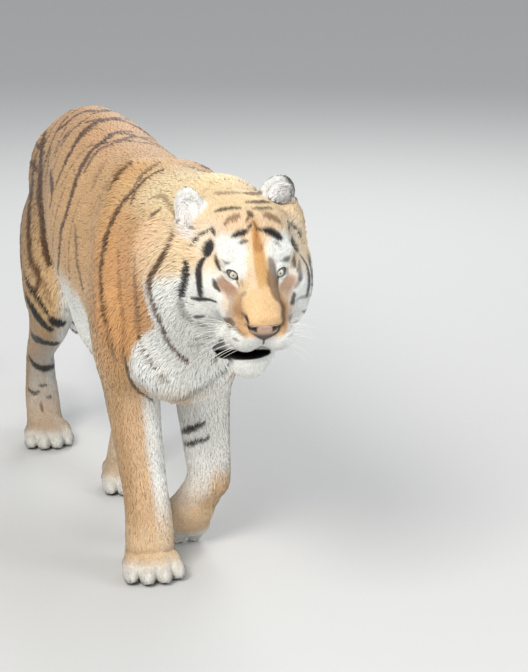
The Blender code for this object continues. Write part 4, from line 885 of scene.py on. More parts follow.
    # ears
    for name, (s, ce, re, yaw, roll, root) in EARS.items():
        rot = HEAD_TURN @ turn(yaw * s, 0, roll * s)
        q = (p - in_head(ce[0] * s, ce[1], ce[2])) @ rot
        u = np.sqrt(((q / vec(*re)) ** 2).sum(1))
        here = (1 - step(u, 1.0, 1.35)) * step(q[:, 2] / re[2], -0.75, -0.35)
        m = n @ rot
        behind = step(m[:, 1], 0.20, 0.50)
        dark = behind * (1 - ellipse(q, (0, re[1] * 0.7, re[2] * 0.05), (re[0] * 0.50, 0.05, re[2] * 0.33), 0.25))
        rim = step(np.hypot(q[:, 0] / re[0], q[:, 2] / re[2]), 0.74, 0.90) * step(q[:, 2] * 0.35 + q[:, 0] * s, 0.25 * re[2], 0.6 * re[2])
        c = blend(c, WHITE, here * (1 - behind))
        c = blend(c, WHITE, here * behind)
        c = blend(c, BLACK, here * dark * 0.97)
        c = blend(c, BLACK * 1.6, here * rim * (0.92 if s > 0 else 0.0))
    shade = 1 + 0.055 * big + 0.05 * small
    return np.clip(c * shade[:, None], 0, 1)


def mirrored(points):
    q = np.array(points, float)
    q[:, 0] *= -1
    return q


def snapped(tree, points):
    return np.array([tuple(tree.find_nearest(Vector(tuple(q)))[0]) for q in points])


def around(tree, a, b, angles, width, strength=0.9, kind="k", along=0.0, side=(1, 0, 0)):
    """A bar round a limb between a and b, over the given angles in degrees (0 = `side`, 90 = forward)."""
    a, b = vec(*a), vec(*b)
    e3 = unit(b - a)
    e1 = unit(vec(*side) - (vec(*side) @ e3) * e3)
    e2 = np.cross(e1, e3)
    e2 = e2 * (1 if e2[1] < 0 else -1)
    pts = []
    for i, deg in enumerate(np.linspace(angles[0], angles[1], 9)):
        t = math.radians(deg)
        d = e1 * math.cos(t) + e2 * math.sin(t)
        mid = (a + b) / 2 + e3 * along * (i / 8 - 0.5)
        hit = tree.ray_cast(Vector(tuple(mid + d * 0.16)), Vector(tuple(-d)))[0]
        if hit is not None and (hit - Vector(tuple(mid))).length < 0.13:
            pts.append(tuple(hit))
    return Stroke(kind, width, strength, pts) if len(pts) > 2 else None


def all_strokes(tree):
    rng = np.random.default_rng(7)
    def tone(k, pts):      # the lines of the trunk and thighs are umber, those of the face and lower legs black
        return "d" if k == "k" and np.mean([q[2] for q in pts]) > 0.52 else k

    out = [Stroke(tone(k, pts), min(w, 0.026 if st < 1 else 0.036), st, snapped(tree, pts)) for k, w, st, pts in BODY_STROKES]
    for k, w, st, pts in HEAD_STROKES:
        q = np.array([HEAD_TURN @ vec(*t) + vec(*HEAD_AT) for t in pts])
        out.append(Stroke(k, w, st, q))
    # the far side carries the same plan, as it differs from animal to animal and side to side; the painted shade
    # between shoulder and chest comes across with it
    for i, (k, w, st, pts) in enumerate(BODY_STROKES):
        q = mirrored(pts)
        run = q.max(0) - q.min(0)
        if q[:, 2].mean() < 0.56 or (q[:, 2].min() > 0.6 and run[1] > 1.6 * run[2] and w > 0.03):
            continue
        q = q + vec(0, rng.normal(0, 0.014), rng.normal(0, 0.006))
        t = np.linspace(0, 1, len(q))
        q[:, 1] += 0.012 * np.sin(2 * np.pi * (t * rng.uniform(0.6, 1.4) + rng.uniform()))
        out.append(Stroke(tone(k, q), min(w, 0.027) * rng.uniform(0.85, 1.15), st, snapped(tree, q)))
    # the right side of the face is copied to the left, with its painted shade on the lower cheek and under the eye
    for k, w, st, pts in HEAD_STROKES:
        q = np.array(pts, float)
        if np.abs(q[:, 0]).min() < 0.028 or q[:, 0].mean() > 0.02:
            continue
        q[:, 0] *= -1
        q = q + rng.normal(0, 0.0025, 3)
        q = np.array([HEAD_TURN @ t + vec(*HEAD_AT) for t in q])
        out.append(Stroke(k, w * 0.9, st * (0.5 if q[:, 1].min() < -0.94 else 0.9), snapped(tree, q)))
    # flank: the fainter lines between the bold ones, and the bars that run on under the belly
    def down(s, line, kind, width, strength):
        pts = []
        for y, z in line:
            hit = tree.ray_cast(Vector((s * 0.6, y, z)), Vector((-s, 0, 0)))[0]
            if hit is not None and hit[0] * s > 0.02:
                pts.append(tuple(hit))
        if len(pts) > 2:
            out.append(Stroke(kind, width, strength, pts))
    for s in (-1, 1):
        far = s > 0
        for line, w, st in (
                ([(-0.10, 0.90), (-0.125, 0.80), (-0.135, 0.70), (-0.12, 0.62)], 0.011, 0.75),
                ([(-0.085, 0.80), (-0.10, 0.70), (-0.09, 0.63)], 0.007, 0.60),
                ([(0.06, 0.88), (0.045, 0.79), (0.055, 0.70), (0.085, 0.62)], 0.013, 0.85),
                ([(0.10, 0.80), (0.095, 0.71), (0.12, 0.62)], 0.009, 0.80),
                ([(0.22, 0.74), (0.195, 0.68), (0.20, 0.61), (0.225, 0.57)], 0.012, 0.90),
                ([(0.30, 0.90), (0.265, 0.83), (0.25, 0.75), (0.26, 0.67)], 0.011, 0.85),
                ([(0.47, 0.88), (0.41, 0.83), (0.375, 0.79)], 0.011, 0.85),
                ([(0.56, 0.72), (0.49, 0.66), (0.43, 0.58), (0.40, 0.50)], 0.013, 0.90),
                ([(0.50, 0.62), (0.46, 0.55), (0.43, 0.48)], 0.010, 0.85),
                ([(0.13, 0.93), (0.10, 0.87), (0.095, 0.83)], 0.009, 0.80),
                ([(0.42, 0.94), (0.385, 0.90), (0.365, 0.86)], 0.010, 0.85)):
            shift, scale = (rng.normal(0, 0.012), rng.uniform(0.95, 1.25)) if far else (0.0, 1.0)
            down(s, [(y + shift, z) for y, z in line], "d" if far or line[0][0] > 0.0 else "b", w * scale, st if far else st * 0.85)
        if far:   # the shoulder and neck of the side that the head hides
            for line, w, st in (
                    ([(-0.20, 0.93), (-0.235, 0.85), (-0.245, 0.76), (-0.23, 0.68)], 0.010, 0.70),
                    ([(-0.33, 0.90), (-0.37, 0.82), (-0.385, 0.74)], 0.008, 0.55),
                    ([(-0.66, 0.93), (-0.645, 0.86), (-0.62, 0.79)], 0.010, 0.60),
                    ([(-0.565, 0.92), (-0.575, 0.85), (-0.58, 0.79)], 0.009, 0.55)):
                down(s, line, "d", w, st)
        for y, top, w in ((-0.235, 0.545, 0.008), (-0.165, 0.60, 0.011), (-0.105, 0.55, 0.008), (-0.045, 0.615, 0.013), (0.02, 0.56, 0.009), (0.075, 0.61, 0.013),
                          (0.14, 0.57, 0.010), (0.195, 0.60, 0.013), (0.255, 0.60, 0.012)):
            y2 = y + rng.normal(0, 0.006)
            pts = [(s * 0.20, y2 - 0.016, top), (s * 0.18, y2 - 0.006, top - 0.05), (s * 0.13, y2 + 0.006, 0.47), (s * 0.07, y2 + 0.018, 0.43), (s * 0.025, y2 + 0.024, 0.42)]
            pts, strength = (pts, 0.80) if far else (pts[2:], 0.60)
            out.append(Stroke("k", w, strength, snapped(tree, pts)))
        # lines down the shoulder blade side that the head hides, and loin
        for y, z0, z1, w in ((-0.20, 0.955, 0.85, 0.008), (0.50, 0.965, 0.83, 0.016), (0.575, 0.94, 0.80, 0.015)):
            pts = [(s * 0.03, y, z0), (s * 0.09, y - 0.012, z0 - 0.02), (s * 0.15, y - 0.03, (z0 + z1) / 2), (s * 0.19, y - 0.05, z1)]
            out.append(Stroke("d", w, 0.85 if y > 0.2 else 0.5, snapped(tree, pts)))
        # rump and back of the thighs
        for z, w in ((0.86, 0.013), (0.80, 0.015), (0.735, 0.016), (0.67, 0.016), (0.605, 0.015), (0.545, 0.014)):
            pts = [(s * 0.045, 0.74, z - 0.035), (s * 0.10, 0.69, z - 0.02), (s * 0.155, 0.60, z), (s * 0.19, 0.50, z + 0.012)]
            out.append(Stroke("d", w, 0.95, snapped(tree, pts)))
    # legs
    bars = [
        # right hind leg, behind and inside
        ((-0.146, 0.42, 0.42), (-0.146, 0.50, 0.35), (150, 330), 0.014, 0.85), ((-0.144, 0.50, 0.36), (-0.142, 0.58, 0.29), (160, 320), 0.012, 0.85),
        ((-0.142, 0.60, 0.27), (-0.140, 0.645, 0.21), (170, 300), 0.011, 0.8),
        # left hind leg, all round but the inside
        ((0.146, 0.33, 0.53), (0.146, 0.30, 0.47), (-70, 100), 0.019, 0.95), ((0.146, 0.31, 0.48), (0.145, 0.28, 0.42), (-80, 110), 0.018, 0.95),
        ((0.145, 0.29, 0.42), (0.125, 0.315, 0.36), (-90, 100), 0.017, 0.95), ((0.130, 0.31, 0.37), (0.110, 0.33, 0.32), (-90, 90), 0.014, 0.9),
        ((0.110, 0.33, 0.31), (0.095, 0.34, 0.27), (-90, 80), 0.012, 0.85), ((0.085, 0.34, 0.25), (0.065, 0.33, 0.21), (-80, 70), 0.010, 0.75),
        ((0.055, 0.31, 0.19), (0.035, 0.28, 0.14), (-60, 70), 0.008, 0.6),
        # forelegs, inside
        ((-0.108, -0.36, 0.46), (-0.100, -0.37, 0.40), (-40, 40), 0.010, 0.45), ((-0.098, -0.38, 0.36), (-0.094, -0.39, 0.31), (-40, 30), 0.008, 0.4),
        ((-0.090, -0.40, 0.27), (-0.086, -0.42, 0.21), (-30, 30), 0.007, 0.35),
    ]
    for a, b, ang, w, st in bars:
        s = around(tree, a, b, ang, w, st, along=rng.uniform(-0.02, 0.02))
        if s is not None:
            out.append(s)
    return out


TAIL_LINE = tail_masses()[0].p
TAIL_RUN = np.r_[0, np.cumsum(np.linalg.norm(np.diff(TAIL_LINE[:, :3], axis=0), axis=1))]


def tail_place(p):
    """Distance along the tail from its root, and how far round from its upper side, for points on it."""
    a = TAIL_LINE[:, :3]
    s = np.zeros(len(p))
    best = np.full(len(p), 9.0)
    for i in range(len(a) - 1):
        ab = a[i + 1] - a[i]
        t = np.clip(((p - a[i]) @ ab) / (ab @ ab), 0, 1)
        d = np.linalg.norm(p - (a[i] + t[:, None] * ab), axis=1)
        k = d < best
        best[k] = d[k]
        s[k] = (TAIL_RUN[i] + t * (TAIL_RUN[i + 1] - TAIL_RUN[i]))[k]
    return s


def marks(p, n, strokes):
    """Colour of the coat at p, stripes, painted shade and all."""
    c = base_colour(p, n)
    rag = 0.6 * noise(p, 0.009, 5) + 0.6 * noise(p, 0.022, 6)
    ink = {"k": np.zeros(len(p)), "b": np.zeros(len(p)), "g": np.zeros(len(p)), "o": np.zeros(len(p)), "d": np.zeros(len(p))}
    for s in strokes:
        near, v = s.mask(p, rag)
        if len(near):
            ink[s.kind][near] = np.maximum(ink[s.kind][near], v)
    # rings of the tail
    t = np.nonzero((p[:, 1] > 0.72))[0]
    if len(t):
        run = tail_place(p[t]) + 0.006 * noise(p[t], 0.03, 9)
        total = TAIL_RUN[-1]
        ring = np.zeros(len(t))
        back = step(n[t, 2] + 0.6 * n[t, 1] * (p[t, 1] < 0.93) + 0.3, -0.5, 0.2)
        for i, at in enumerate(np.arange(0.17, total - 0.03, 0.082)):
            w = 0.012 + 0.010 * i / 10
            ring = np.maximum(ring, step(w - np.abs(run - at), -0.003, 0.003) * (0.35 + 0.65 * np.maximum(back, (i > 4) * 1.0)))
        ring = np.maximum(ring, step(run, total - 0.055, total - 0.045))
        ink["k"][t] = np.maximum(ink["k"][t], ring * 0.95)
    c = blend(c, RUST * 0.9, ink["o"])
    c = blend(c, BROWN, ink["b"])
    c = blend(c, GREY, ink["g"])
    c = blend(c, UMBER, ink["d"])
    c = blend(c, BLACK, ink["k"])
    # face: rims of the eyes, lips, nose leather underneath
    h = to_head(p)
    face = np.nonzero((h[:, 1] < 0.06) & (p[:, 1] < -0.85))[0]
    if len(face):
        f, cf = p[face], c[face]
        hf = h[face]
        for s in (-1, 1):
            e1, e2, w = eye_frame(s)
            q = f - EYE_AT[s]
            u, v, front = q @ e1, q @ e2, q @ w
            o = lids(f, s)
            near = (front > 0.002) & (np.linalg.norm(q, axis=1) < 0.05)
            rim = (1 - step(o, 0.0004, 0.0020)) * near
            duct = ellipse(np.stack([u, v, front * 0], 1), (-0.0200, -0.0070, 0), (0.0070, 0.0030, 1), 0.5) * near
            outer = ellipse(np.stack([u, v, front * 0], 1), (0.0185, -0.0020, 0), (0.0070, 0.0022, 1), 0.5) * near
            pale = ellipse(np.stack([u, v, front * 0], 1), (-0.003, -0.0125, 0), (0.0190, 0.0046, 1), 0.5) * near
            cf = blend(cf, WHITE, pale)
            cf = blend(cf, BROWN * 0.5, np.maximum(duct * 0.55, outer * 0.12))
            dark = step(v, -0.0075, -0.0005)
            cf = blend(cf, rgb(78, 68, 62), rim * dark)
            cf = blend(cf, rgb(118, 104, 96), rim * (1 - dark) * 0.85)
        g = mouth_gap(f)
        lip = (1 - step(g, 0.0014, 0.0032 + 0.0045 * step(-hf[:, 0], 0.03, 0.07))) * (hf[:, 1] < 0.02)
        corner = ellipse(hf, (-0.074, -0.045, -0.160), (0.026, 0.050, 0.019), 0.30)
        cf = blend(cf, BLACK * 0.8, np.maximum(lip, corner * 0.92))
        cleft = (1 - step(np.abs(hf[:, 0]), 0.0014, 0.0032)) * step(-hf[:, 1], 0.112, 0.120) * step(-hf[:, 2], 0.082, 0.090) * (hf[:, 2] > -0.135)
        cf = blend(cf, BLACK, cleft * 0.8)
        rows = np.zeros(len(face))
        for i in range(4):
            m = np.stack([np.abs(hf[:, 0]), hf[:, 1], hf[:, 2]], 1)
            a, b = vec(0.040, -0.116 + 0.002 * i, -0.083 - 0.0095 * i), vec(0.064, -0.072, -0.080 - 0.012 * i)
            ab = b - a
            t = np.clip(((m - a) @ ab) / (ab @ ab), 0, 1)
            d = np.linalg.norm(m - (a + t[:, None] * ab), axis=1)
            dots = 0.5 + 0.5 * np.cos(2 * np.pi * t * 5)
            rows = np.maximum(rows, (1 - step(d, 0.0014, 0.0030)) * dots)
        cf = blend(cf, BLACK, rows * 0.75)
        c[face] = cf
    return c


# ---------------------------------------------------------------- lie of the coat
def hair_way(p, n):
    """Direction of the hair at points of the skin, along the skin."""
    total, out = np.zeros(len(p)), np.zeros(p.shape)
    for m in MASSES:
        near = np.nonzero(((p > m.lo - 0.03) & (p < m.hi + 0.03)).all(1))[0]
        if not len(near):
            continue
        q = p[near]
        w = np.exp(-np.clip(m.dist(q), -0.02, 0.2) / 0.014)
        d = unit(q - NOSE_TIP) if m.tag == "head" else m.hair(q)
        out[near] += w[:, None] * d
        total[near] += w
    out /= np.maximum(total, 1e-9)[:, None]
    out -= (out * n).sum(1)[:, None] * n
    weak = np.linalg.norm(out, axis=1) < 0.05
    out[weak] = np.cross(n[weak], vec(1, 0, 0))
    return unit(out)


def regions(p, n):
    """How much each point belongs to the face, ears, ruff, feet and so on, 0 to 1."""
    h = to_head(p)
    hx = np.abs(h[:, 0])
    on = step(-h[:, 1], -0.225, -0.165) * (p[:, 1] < -0.66)
    g = {"head": on}
    g["face"] = on * step(-h[:, 1], -0.105, 0.0)
    g["muzzle"] = on * step(-h[:, 1], 0.035, 0.075)
    g["ruff"] = on * step(hx, 0.085, 0.115) * step(h[:, 1], 0.03, 0.09) * step(0.05 - h[:, 2], 0, 0.05)
    g["crown"] = on * step(h[:, 2], 0.07, 0.10) * step(h[:, 1], 0.03, 0.10)
    ear, hollow = np.zeros(len(p)), np.zeros(len(p))
    for name, (s, ce, re, yaw, roll, root) in EARS.items():
        rot = HEAD_TURN @ turn(yaw * s, 0, roll * s)
        q = (p - in_head(ce[0] * s, ce[1], ce[2])) @ rot
        u = np.sqrt(((q / vec(*re)) ** 2).sum(1))
        here = (1 - step(u, 1.05, 1.3)) * step(q[:, 2] / re[2], -0.8, -0.5)
        ear = np.maximum(ear, here)
        hollow = np.maximum(hollow, here * step(-(n @ rot)[:, 1], 0.0, 0.4) * (1 - step(np.hypot(q[:, 0] / re[0], q[:, 2] / re[2]), 0.66, 0.80)))
    g["ear"], g["hollow"] = ear, hollow
    g["throat"] = step(-p[:, 1], 0.48, 0.60) * (1 - on) * step(-n[:, 1], 0.0, 0.5) * (p[:, 2] > 0.40)
    g["belly"] = (p[:, 2] > 0.36) * step(-n[:, 2], 0.45, 0.85) * step(p[:, 1], -0.45, -0.3) * (p[:, 1] < 0.7)
    g["leg"] = (1 - step(p[:, 2], 0.40, 0.55)) * (p[:, 1] < 0.73)
    g["foot"] = (1 - step(p[:, 2], 0.07, 0.14)) * (p[:, 1] < 0.73)
    wrist = np.linalg.norm((p - vec(-0.02, -0.33, 0.10)) / vec(0.13, 0.14, 0.10), axis=1)
    g["foot"] = np.maximum(g["foot"], (1 - step(wrist, 0.8, 1.1)) * (p[:, 0] > -0.03) * (p[:, 1] > -0.6) * (p[:, 1] < -0.15) * (p[:, 2] < 0.19))
    g["tail"] = step(p[:, 1], 0.70, 0.76)
    return g


def tuft_size(g):
    """Length, width, lift (metres) and number per square metre."""
    L, W, U, D = (np.full(len(g["head"]), v) for v in (0.026, 0.0052, 0.0060, 58500.0))
    def mix(w, l, wd, u, d):
        L[:] += (l - L) * w
        W[:] += (wd - W) * w
        U[:] += (u - U) * w
        D[:] += (d - D) * w
    mix(g["belly"], 0.036, 0.0060, 0.0090, 50000)
    mix(g["throat"], 0.030, 0.0046, 0.0065, 78000)
    mix(g["leg"], 0.017, 0.0038, 0.0040, 105000)
    mix(g["foot"], 0.0105, 0.0028, 0.0028, 165000)
    mix(g["tail"], 0.023, 0.0044, 0.0065, 90000)
    mix(g["head"], 0.020, 0.0036, 0.0062, 115000)
    mix(g["ruff"], 0.030, 0.0036, 0.0080, 130000)
    mix(g["crown"], 0.0125, 0.0025, 0.0030, 200000)
    mix(g["face"], 0.0115, 0.0021, 0.0024, 264000)
    mix(g["muzzle"], 0.0070, 0.0016, 0.0016, 330000)
    mix(g["ear"], 0.0090, 0.0020, 0.0022, 230000)
    return L, W, U, D


def scatter(rng, v, t, n, way, dens, keep):
    """Random places on the skin by density: triangle, weights, point, normal, direction."""
    a, b, c = v[t[:, 0]], v[t[:, 1]], v[t[:, 2]]
    area = np.linalg.norm(np.cross(b - a, c - a), axis=1) / 2
    want = area * dens[t].mean(1) * keep[t].min(1)
    many = np.floor(want + rng.random(len(t))).astype(int)
    i = np.repeat(np.arange(len(t)), many)
    u, w = rng.random(len(i)), rng.random(len(i))
    flip = u + w > 1
    u[flip], w[flip] = 1 - u[flip], 1 - w[flip]
    k = np.stack([1 - u - w, u, w], 1)
    def at(q):
        return (q[t[i]] * (k[:, :, None] if q.ndim == 2 else k)).sum(1)
    P = at(v)
    N = unit(at(n))
    D = at(way)
    D = unit(D - (D * N).sum(1)[:, None] * N)
    return i, k, P, N, D, at


def turned(D, N, angle):
    return D * np.cos(angle)[:, None] + np.cross(N, D) * np.sin(angle)[:, None]


class Tufts:
    """Gathers closed tufts of one coat piece: points, triangles, normals, colours and the place of each root on the map."""
    def __init__(self):
        self.v, self.f, self.n, self.c, self.uv, self.count = [], [], [], [], [], 0

    def add(self, v, f, n, c, uv):
        """v, n, c: (tufts, k, 3); f: (m, 3) in each tuft; uv: (tufts, 2)."""
        k = v.shape[1]
        if not len(v):
            return
        base = self.count + np.arange(len(v))[:, None, None] * k
        self.f.append((f[None] + base).reshape(-1, 3))
        self.v.append(v.reshape(-1, 3))
        self.n.append(n.reshape(-1, 3))
        self.c.append(c.reshape(-1, 3))
        self.count += len(v) * k
        # each tuft takes a patch about 0.003 across round its root's place, laid out by its own shape
        m = len(f)
        turn_ = np.linspace(0, 2 * np.pi, k, endpoint=False)
        spot = np.stack([np.cos(turn_), np.sin(turn_)], 1) * 0.0015
        if k == 4:
            spot = np.array([(-0.0015, -0.0004), (0.0, 0.0015), (0.0004, -0.0013), (0.0015, 0.0006)])
        self.uv.append((uv[:, None, None, :] + spot[f][None]).reshape(-1, 2))


KITE = np.array([(0, 2, 1), (3, 1, 2), (0, 1, 3), (0, 3, 2)])
LOCK = np.array([(0, 3, 1), (0, 2, 3), (0, 1, 2), (1, 3, 6), (1, 6, 4), (3, 2, 5), (3, 5, 6), (2, 1, 4), (2, 4, 5), (4, 6, 7), (6, 5, 7), (5, 4, 7)])


def kites(P, N, D, L, W, U, col, end):
    """Short flat tufts, four faces each."""
    S = np.cross(N, D)
    L, W, U = L[:, None], W[:, None], U[:, None]
    root = P - N * 0.0010
    mid = P + D * L * 0.40 + N * U * 0.85
    tip = P + D * L + N * U * 0.80
    v = np.stack([root, mid + S * W / 2, mid - S * W / 2, tip], 1)
    n = unit(np.stack([N - D * 0.15, N + S * 0.30, N - S * 0.30, N + D * 0.15], 1))
    # roots painted darker, a painted shade where the hairs meet the skin; tips a little lighter
    c = np.stack([col * 0.84, col * 0.98, col * 0.98, end * 1.06], 1)
    return v, n, np.clip(c, 0, 1)


def locks(P, N, D, L, W, U, col, end, droop=0.15, hook=0.0):
    """Longer curved locks, twelve faces each."""
    S = np.cross(N, D)
    L, W, U = L[:, None], W[:, None], U[:, None]
    fall = vec(0, 0, -1.0) * droop
    def at(t, lift):
        return P + D * L * t + N * U * lift + fall * L * t * t + S * L * hook * t * t
    root, a, b, tip = P - N * 0.0015, at(0.33, 0.8), at(0.70, 1.0), at(1.0, 0.95)
    w1, w2, th = W / 2, W * 0.36, W * 0.32
    v = np.stack([root, a + S * w1, a - S * w1, a + N * th, b + S * w2, b - S * w2, b + N * th * 0.7, tip], 1)
    n = unit(np.stack([N, N + S * 0.45, N - S * 0.45, N, N + S * 0.45, N - S * 0.45, N, N + D * 0.3], 1))
    mix_ = (col + end) / 2
    # roots painted darker, a painted shade where the hairs meet the skin; tips a little lighter
    c = np.stack([col * 0.80, col * 0.92, col * 0.92, col * 0.98, mix_, mix_, mix_ * 1.03, end * 1.07], 1)
    return v, n, np.clip(c, 0, 1)


# ---------------------------------------------------------------- maps of the coat pieces
TRUNK_MID = np.array([(-0.80, 0.86), (-0.60, 0.76), (-0.42, 0.70), (-0.14, 0.69), (0.16, 0.715), (0.41, 0.765), (0.63, 0.80), (0.75, 0.82)])


def unwrap(p, n, g):
    """Piece name and place on that piece's map for each root, from the body's own shape."""
    name = np.empty(len(p), object)
    uv = np.zeros((len(p), 2))
    right = p[:, 0] < 0
    # head, ruff, throat: longitude and latitude about the middle of the head
    h = to_head(p)
    hd = h - vec(0, 0.09, -0.03)
    front = (p[:, 1] < -0.60 - 0.34 * (p[:, 2] - 0.80) * 0) & (p[:, 2] > 0.38)
    lon = np.arctan2(np.abs(hd[:, 0]), -hd[:, 1]) / np.pi
    lat = np.arctan2(hd[:, 2], np.hypot(hd[:, 0], hd[:, 1])) / np.pi + 0.5
    hr = h[:, 0] < 0
    for flag, s in ((True, "right"), (False, "left")):
        k = front & (hr == flag)
        name[k] = "coat_head_" + s
        uv[k] = np.stack([np.clip(lon[k], 0, 1) ** 0.65, lat[k]], 1)
    # legs
    legs = ~front & (p[:, 2] < 0.50 - 0.10 * (p[:, 1] < -0.1)) & (p[:, 1] < 0.72) & ((np.abs(p[:, 0]) > 0.0) | (p[:, 2] < 0.40))
    legs &= ~((p[:, 2] > 0.385) & (np.abs(p[:, 0]) < 0.055)) & ~((p[:, 1] > -0.22) & (p[:, 1] < 0.12) & (p[:, 2] > 0.30))
    fore = p[:, 1] < -0.10
    centres = {("fore", True): [(-0.02, -0.086, -0.47), (0.15, -0.083, -0.432), (0.34, -0.096, -0.385), (0.44, -0.108, -0.36), (0.64, -0.135, -0.45)],
               ("fore", False): [(-0.02, -0.05, -0.36), (0.05, -0.02, -0.35), (0.18, 0.09, -0.345), (0.31, 0.086, -0.334), (0.42, 0.082, -0.33), (0.64, 0.13, -0.45)],
               ("hind", True): [(-0.02, -0.137, 0.595), (0.06, -0.137, 0.615), (0.20, -0.140, 0.645), (0.335, -0.144, 0.524), (0.415, -0.147, 0.425), (0.55, -0.14, 0.38)],
               ("hind", False): [(-0.02, -0.01, 0.165), (0.06, 0.0, 0.205), (0.11, 0.02, 0.255), (0.20, 0.06, 0.325), (0.335, 0.12, 0.32), (0.42, 0.145, 0.29), (0.55, 0.14, 0.34)]}
    # the right forepaw is right of x = 0.03 only; a leg's side is where its own middle runs
    for kind in ("fore", "hind"):
        mine = legs & (fore if kind == "fore" else ~fore)
        z = p[:, 2]
        cr, cl = np.array(centres[kind, True]), np.array(centres[kind, False])
        xr, yr = np.interp(z, cr[:, 0], cr[:, 1]), np.interp(z, cr[:, 0], cr[:, 2])
        xl, yl = np.interp(z, cl[:, 0], cl[:, 1]), np.interp(z, cl[:, 0], cl[:, 2])
        dr, dl = np.hypot(p[:, 0] - xr, p[:, 1] - yr), np.hypot(p[:, 0] - xl, p[:, 1] - yl)
        for flag, s, cx, cy in ((True, "right", xr, yr), (False, "left", xl, yl)):
            k = mine & ((dr < dl) == flag)
            name[k] = "coat_%sleg_%s" % (kind, s)
            a = np.arctan2(p[k, 1] - cy[k], (p[k, 0] - cx[k]) * (1 if flag else -1)) / (2 * np.pi) + 0.5
            uv[k] = np.stack([a, np.clip(z[k] / (0.52 if kind == "hind" else 0.44), 0, 1) ** 0.8], 1)
    # trunk and tail in four quarters
    rest = np.array([x is None for x in name])
    mid = np.interp(p[:, 1], TRUNK_MID[:, 0], TRUNK_MID[:, 1])
    a = np.arctan2(p[:, 2] - mid, np.abs(p[:, 0]))
    tail = p[:, 1] > 0.745
    run = np.zeros(len(p))
    if tail.any():
        run[tail] = tail_place(p[tail]) / TAIL_RUN[-1]
    nn = n[:, 2] + np.where((p[:, 1] < 0.93), n[:, 1], 0)
    for flag, s in ((True, "right"), (False, "left")):
        for up, part in ((True, "back"), (False, "belly")):
            k = rest & ~tail & (right == flag) & ((a > 0.12) == up)
            name[k] = "coat_%s_%s" % (part, s)
            v = (a[k] - 0.12) / (np.pi / 2 - 0.12) if up else (a[k] + np.pi / 2) / (np.pi / 2 + 0.12)
            uv[k] = np.stack([(p[k, 1] + 0.62) / 1.37 * 0.74, v], 1)
            k = rest & tail & (right == flag) & ((nn > 0) == up)
            name[k] = "coat_%s_%s" % (part, s)
            uv[k] = np.stack([0.76 + 0.24 * run[k], 0.5 + 0.5 * np.clip(nn[k], -1, 1) * (1 if up else -1) - 0.0], 1)
    return name, 0.006 + 0.988 * np.clip(uv, 0, 1)


# ---------------------------------------------------------------- meshes
def mesh_piece(name, v, faces, normals=None, colours=None, uv=None, material=None, smooth=True):
    me = bpy.data.meshes.new(name)
    faces = np.asarray(faces)
    k = faces.shape[1]
    me.vertices.add(len(v))
    me.vertices.foreach_set("co", np.ascontiguousarray(v, np.float32).ravel())
    me.loops.add(len(faces) * k)
    me.loops.foreach_set("vertex_index", faces.astype(np.int32).ravel())
    me.polygons.add(len(faces))
    me.polygons.foreach_set("loop_start", np.arange(0, len(faces) * k, k, dtype=np.int32))
    me.polygons.foreach_set("loop_total", np.full(len(faces), k, np.int32))
    me.update(calc_edges=True)
    me.validate()
    if smooth:
        me.polygons.foreach_set("use_smooth", np.ones(len(me.polygons), bool))
    if colours is not None:
        a = me.color_attributes.new("tint", "FLOAT_COLOR", "POINT")
        a.data.foreach_set("color", np.c_[colours, np.ones(len(colours))].astype(np.float32).ravel())
    if uv is not None:
        u = me.uv_layers.new(name="OFBake")
        u.data.foreach_set("uv", uv.astype(np.float32).ravel())
    if normals is not None:
        me.normals_split_custom_set_from_vertices(np.ascontiguousarray(normals, np.float32))
    o = bpy.data.objects.new(name, me)
    bpy.context.scene.collection.objects.link(o)
    if material is not None:
        me.materials.append(material)
    return o


def links(m, *pairs):
    for a, b in pairs:
        m.node_tree.links.new(a, b)


def coat_material(name, rough, bump, grain, sheen):
    """Colour from the coat's own markings and its painted shade, broken by a fine grain, with a soft sheen."""
    m = bpy.data.materials.new(name)
    m.use_nodes = True
    t = m.node_tree
    b = t.nodes["Principled BSDF"]
    b.inputs["Roughness"].default_value = rough
    b.inputs["Specular IOR Level"].default_value = 0.32
    b.inputs["Sheen Weight"].default_value = sheen
    b.inputs["Sheen Roughness"].default_value = 0.5
    a = t.nodes.new("ShaderNodeAttribute")
    a.attribute_name = "tint"
    co = t.nodes.new("ShaderNodeTexCoord")
    mp = t.nodes.new("ShaderNodeMapping")
    mp.inputs["Scale"].default_value = (1.0, 0.35, 1.0)
    nz = t.nodes.new("ShaderNodeTexNoise")
    nz.inputs["Scale"].default_value = grain
    nz.inputs["Detail"].default_value = 3.0
    ramp = t.nodes.new("ShaderNodeMapRange")
    ramp.inputs["From Min"].default_value = 0.30
    ramp.inputs["From Max"].default_value = 0.70
    ramp.inputs["To Min"].default_value = 0.86
    ramp.inputs["To Max"].default_value = 1.10
    mul = t.nodes.new("ShaderNodeVectorMath")
    mul.operation = "SCALE"
    links(m, (co.outputs["Object"], mp.inputs["Vector"]), (mp.outputs["Vector"], nz.inputs["Vector"]), (nz.outputs["Fac"], ramp.inputs["Value"]),
          (a.outputs["Color"], mul.inputs[0]), (ramp.outputs["Result"], mul.inputs["Scale"]), (mul.outputs["Vector"], b.inputs["Base Color"]))
    if bump:
        bm = t.nodes.new("ShaderNodeBump")
        bm.inputs["Strength"].default_value = bump
        bm.inputs["Distance"].default_value = 0.0012
        links(m, (nz.outputs["Fac"], bm.inputs["Height"]), (bm.outputs["Normal"], b.inputs["Normal"]))
    return m


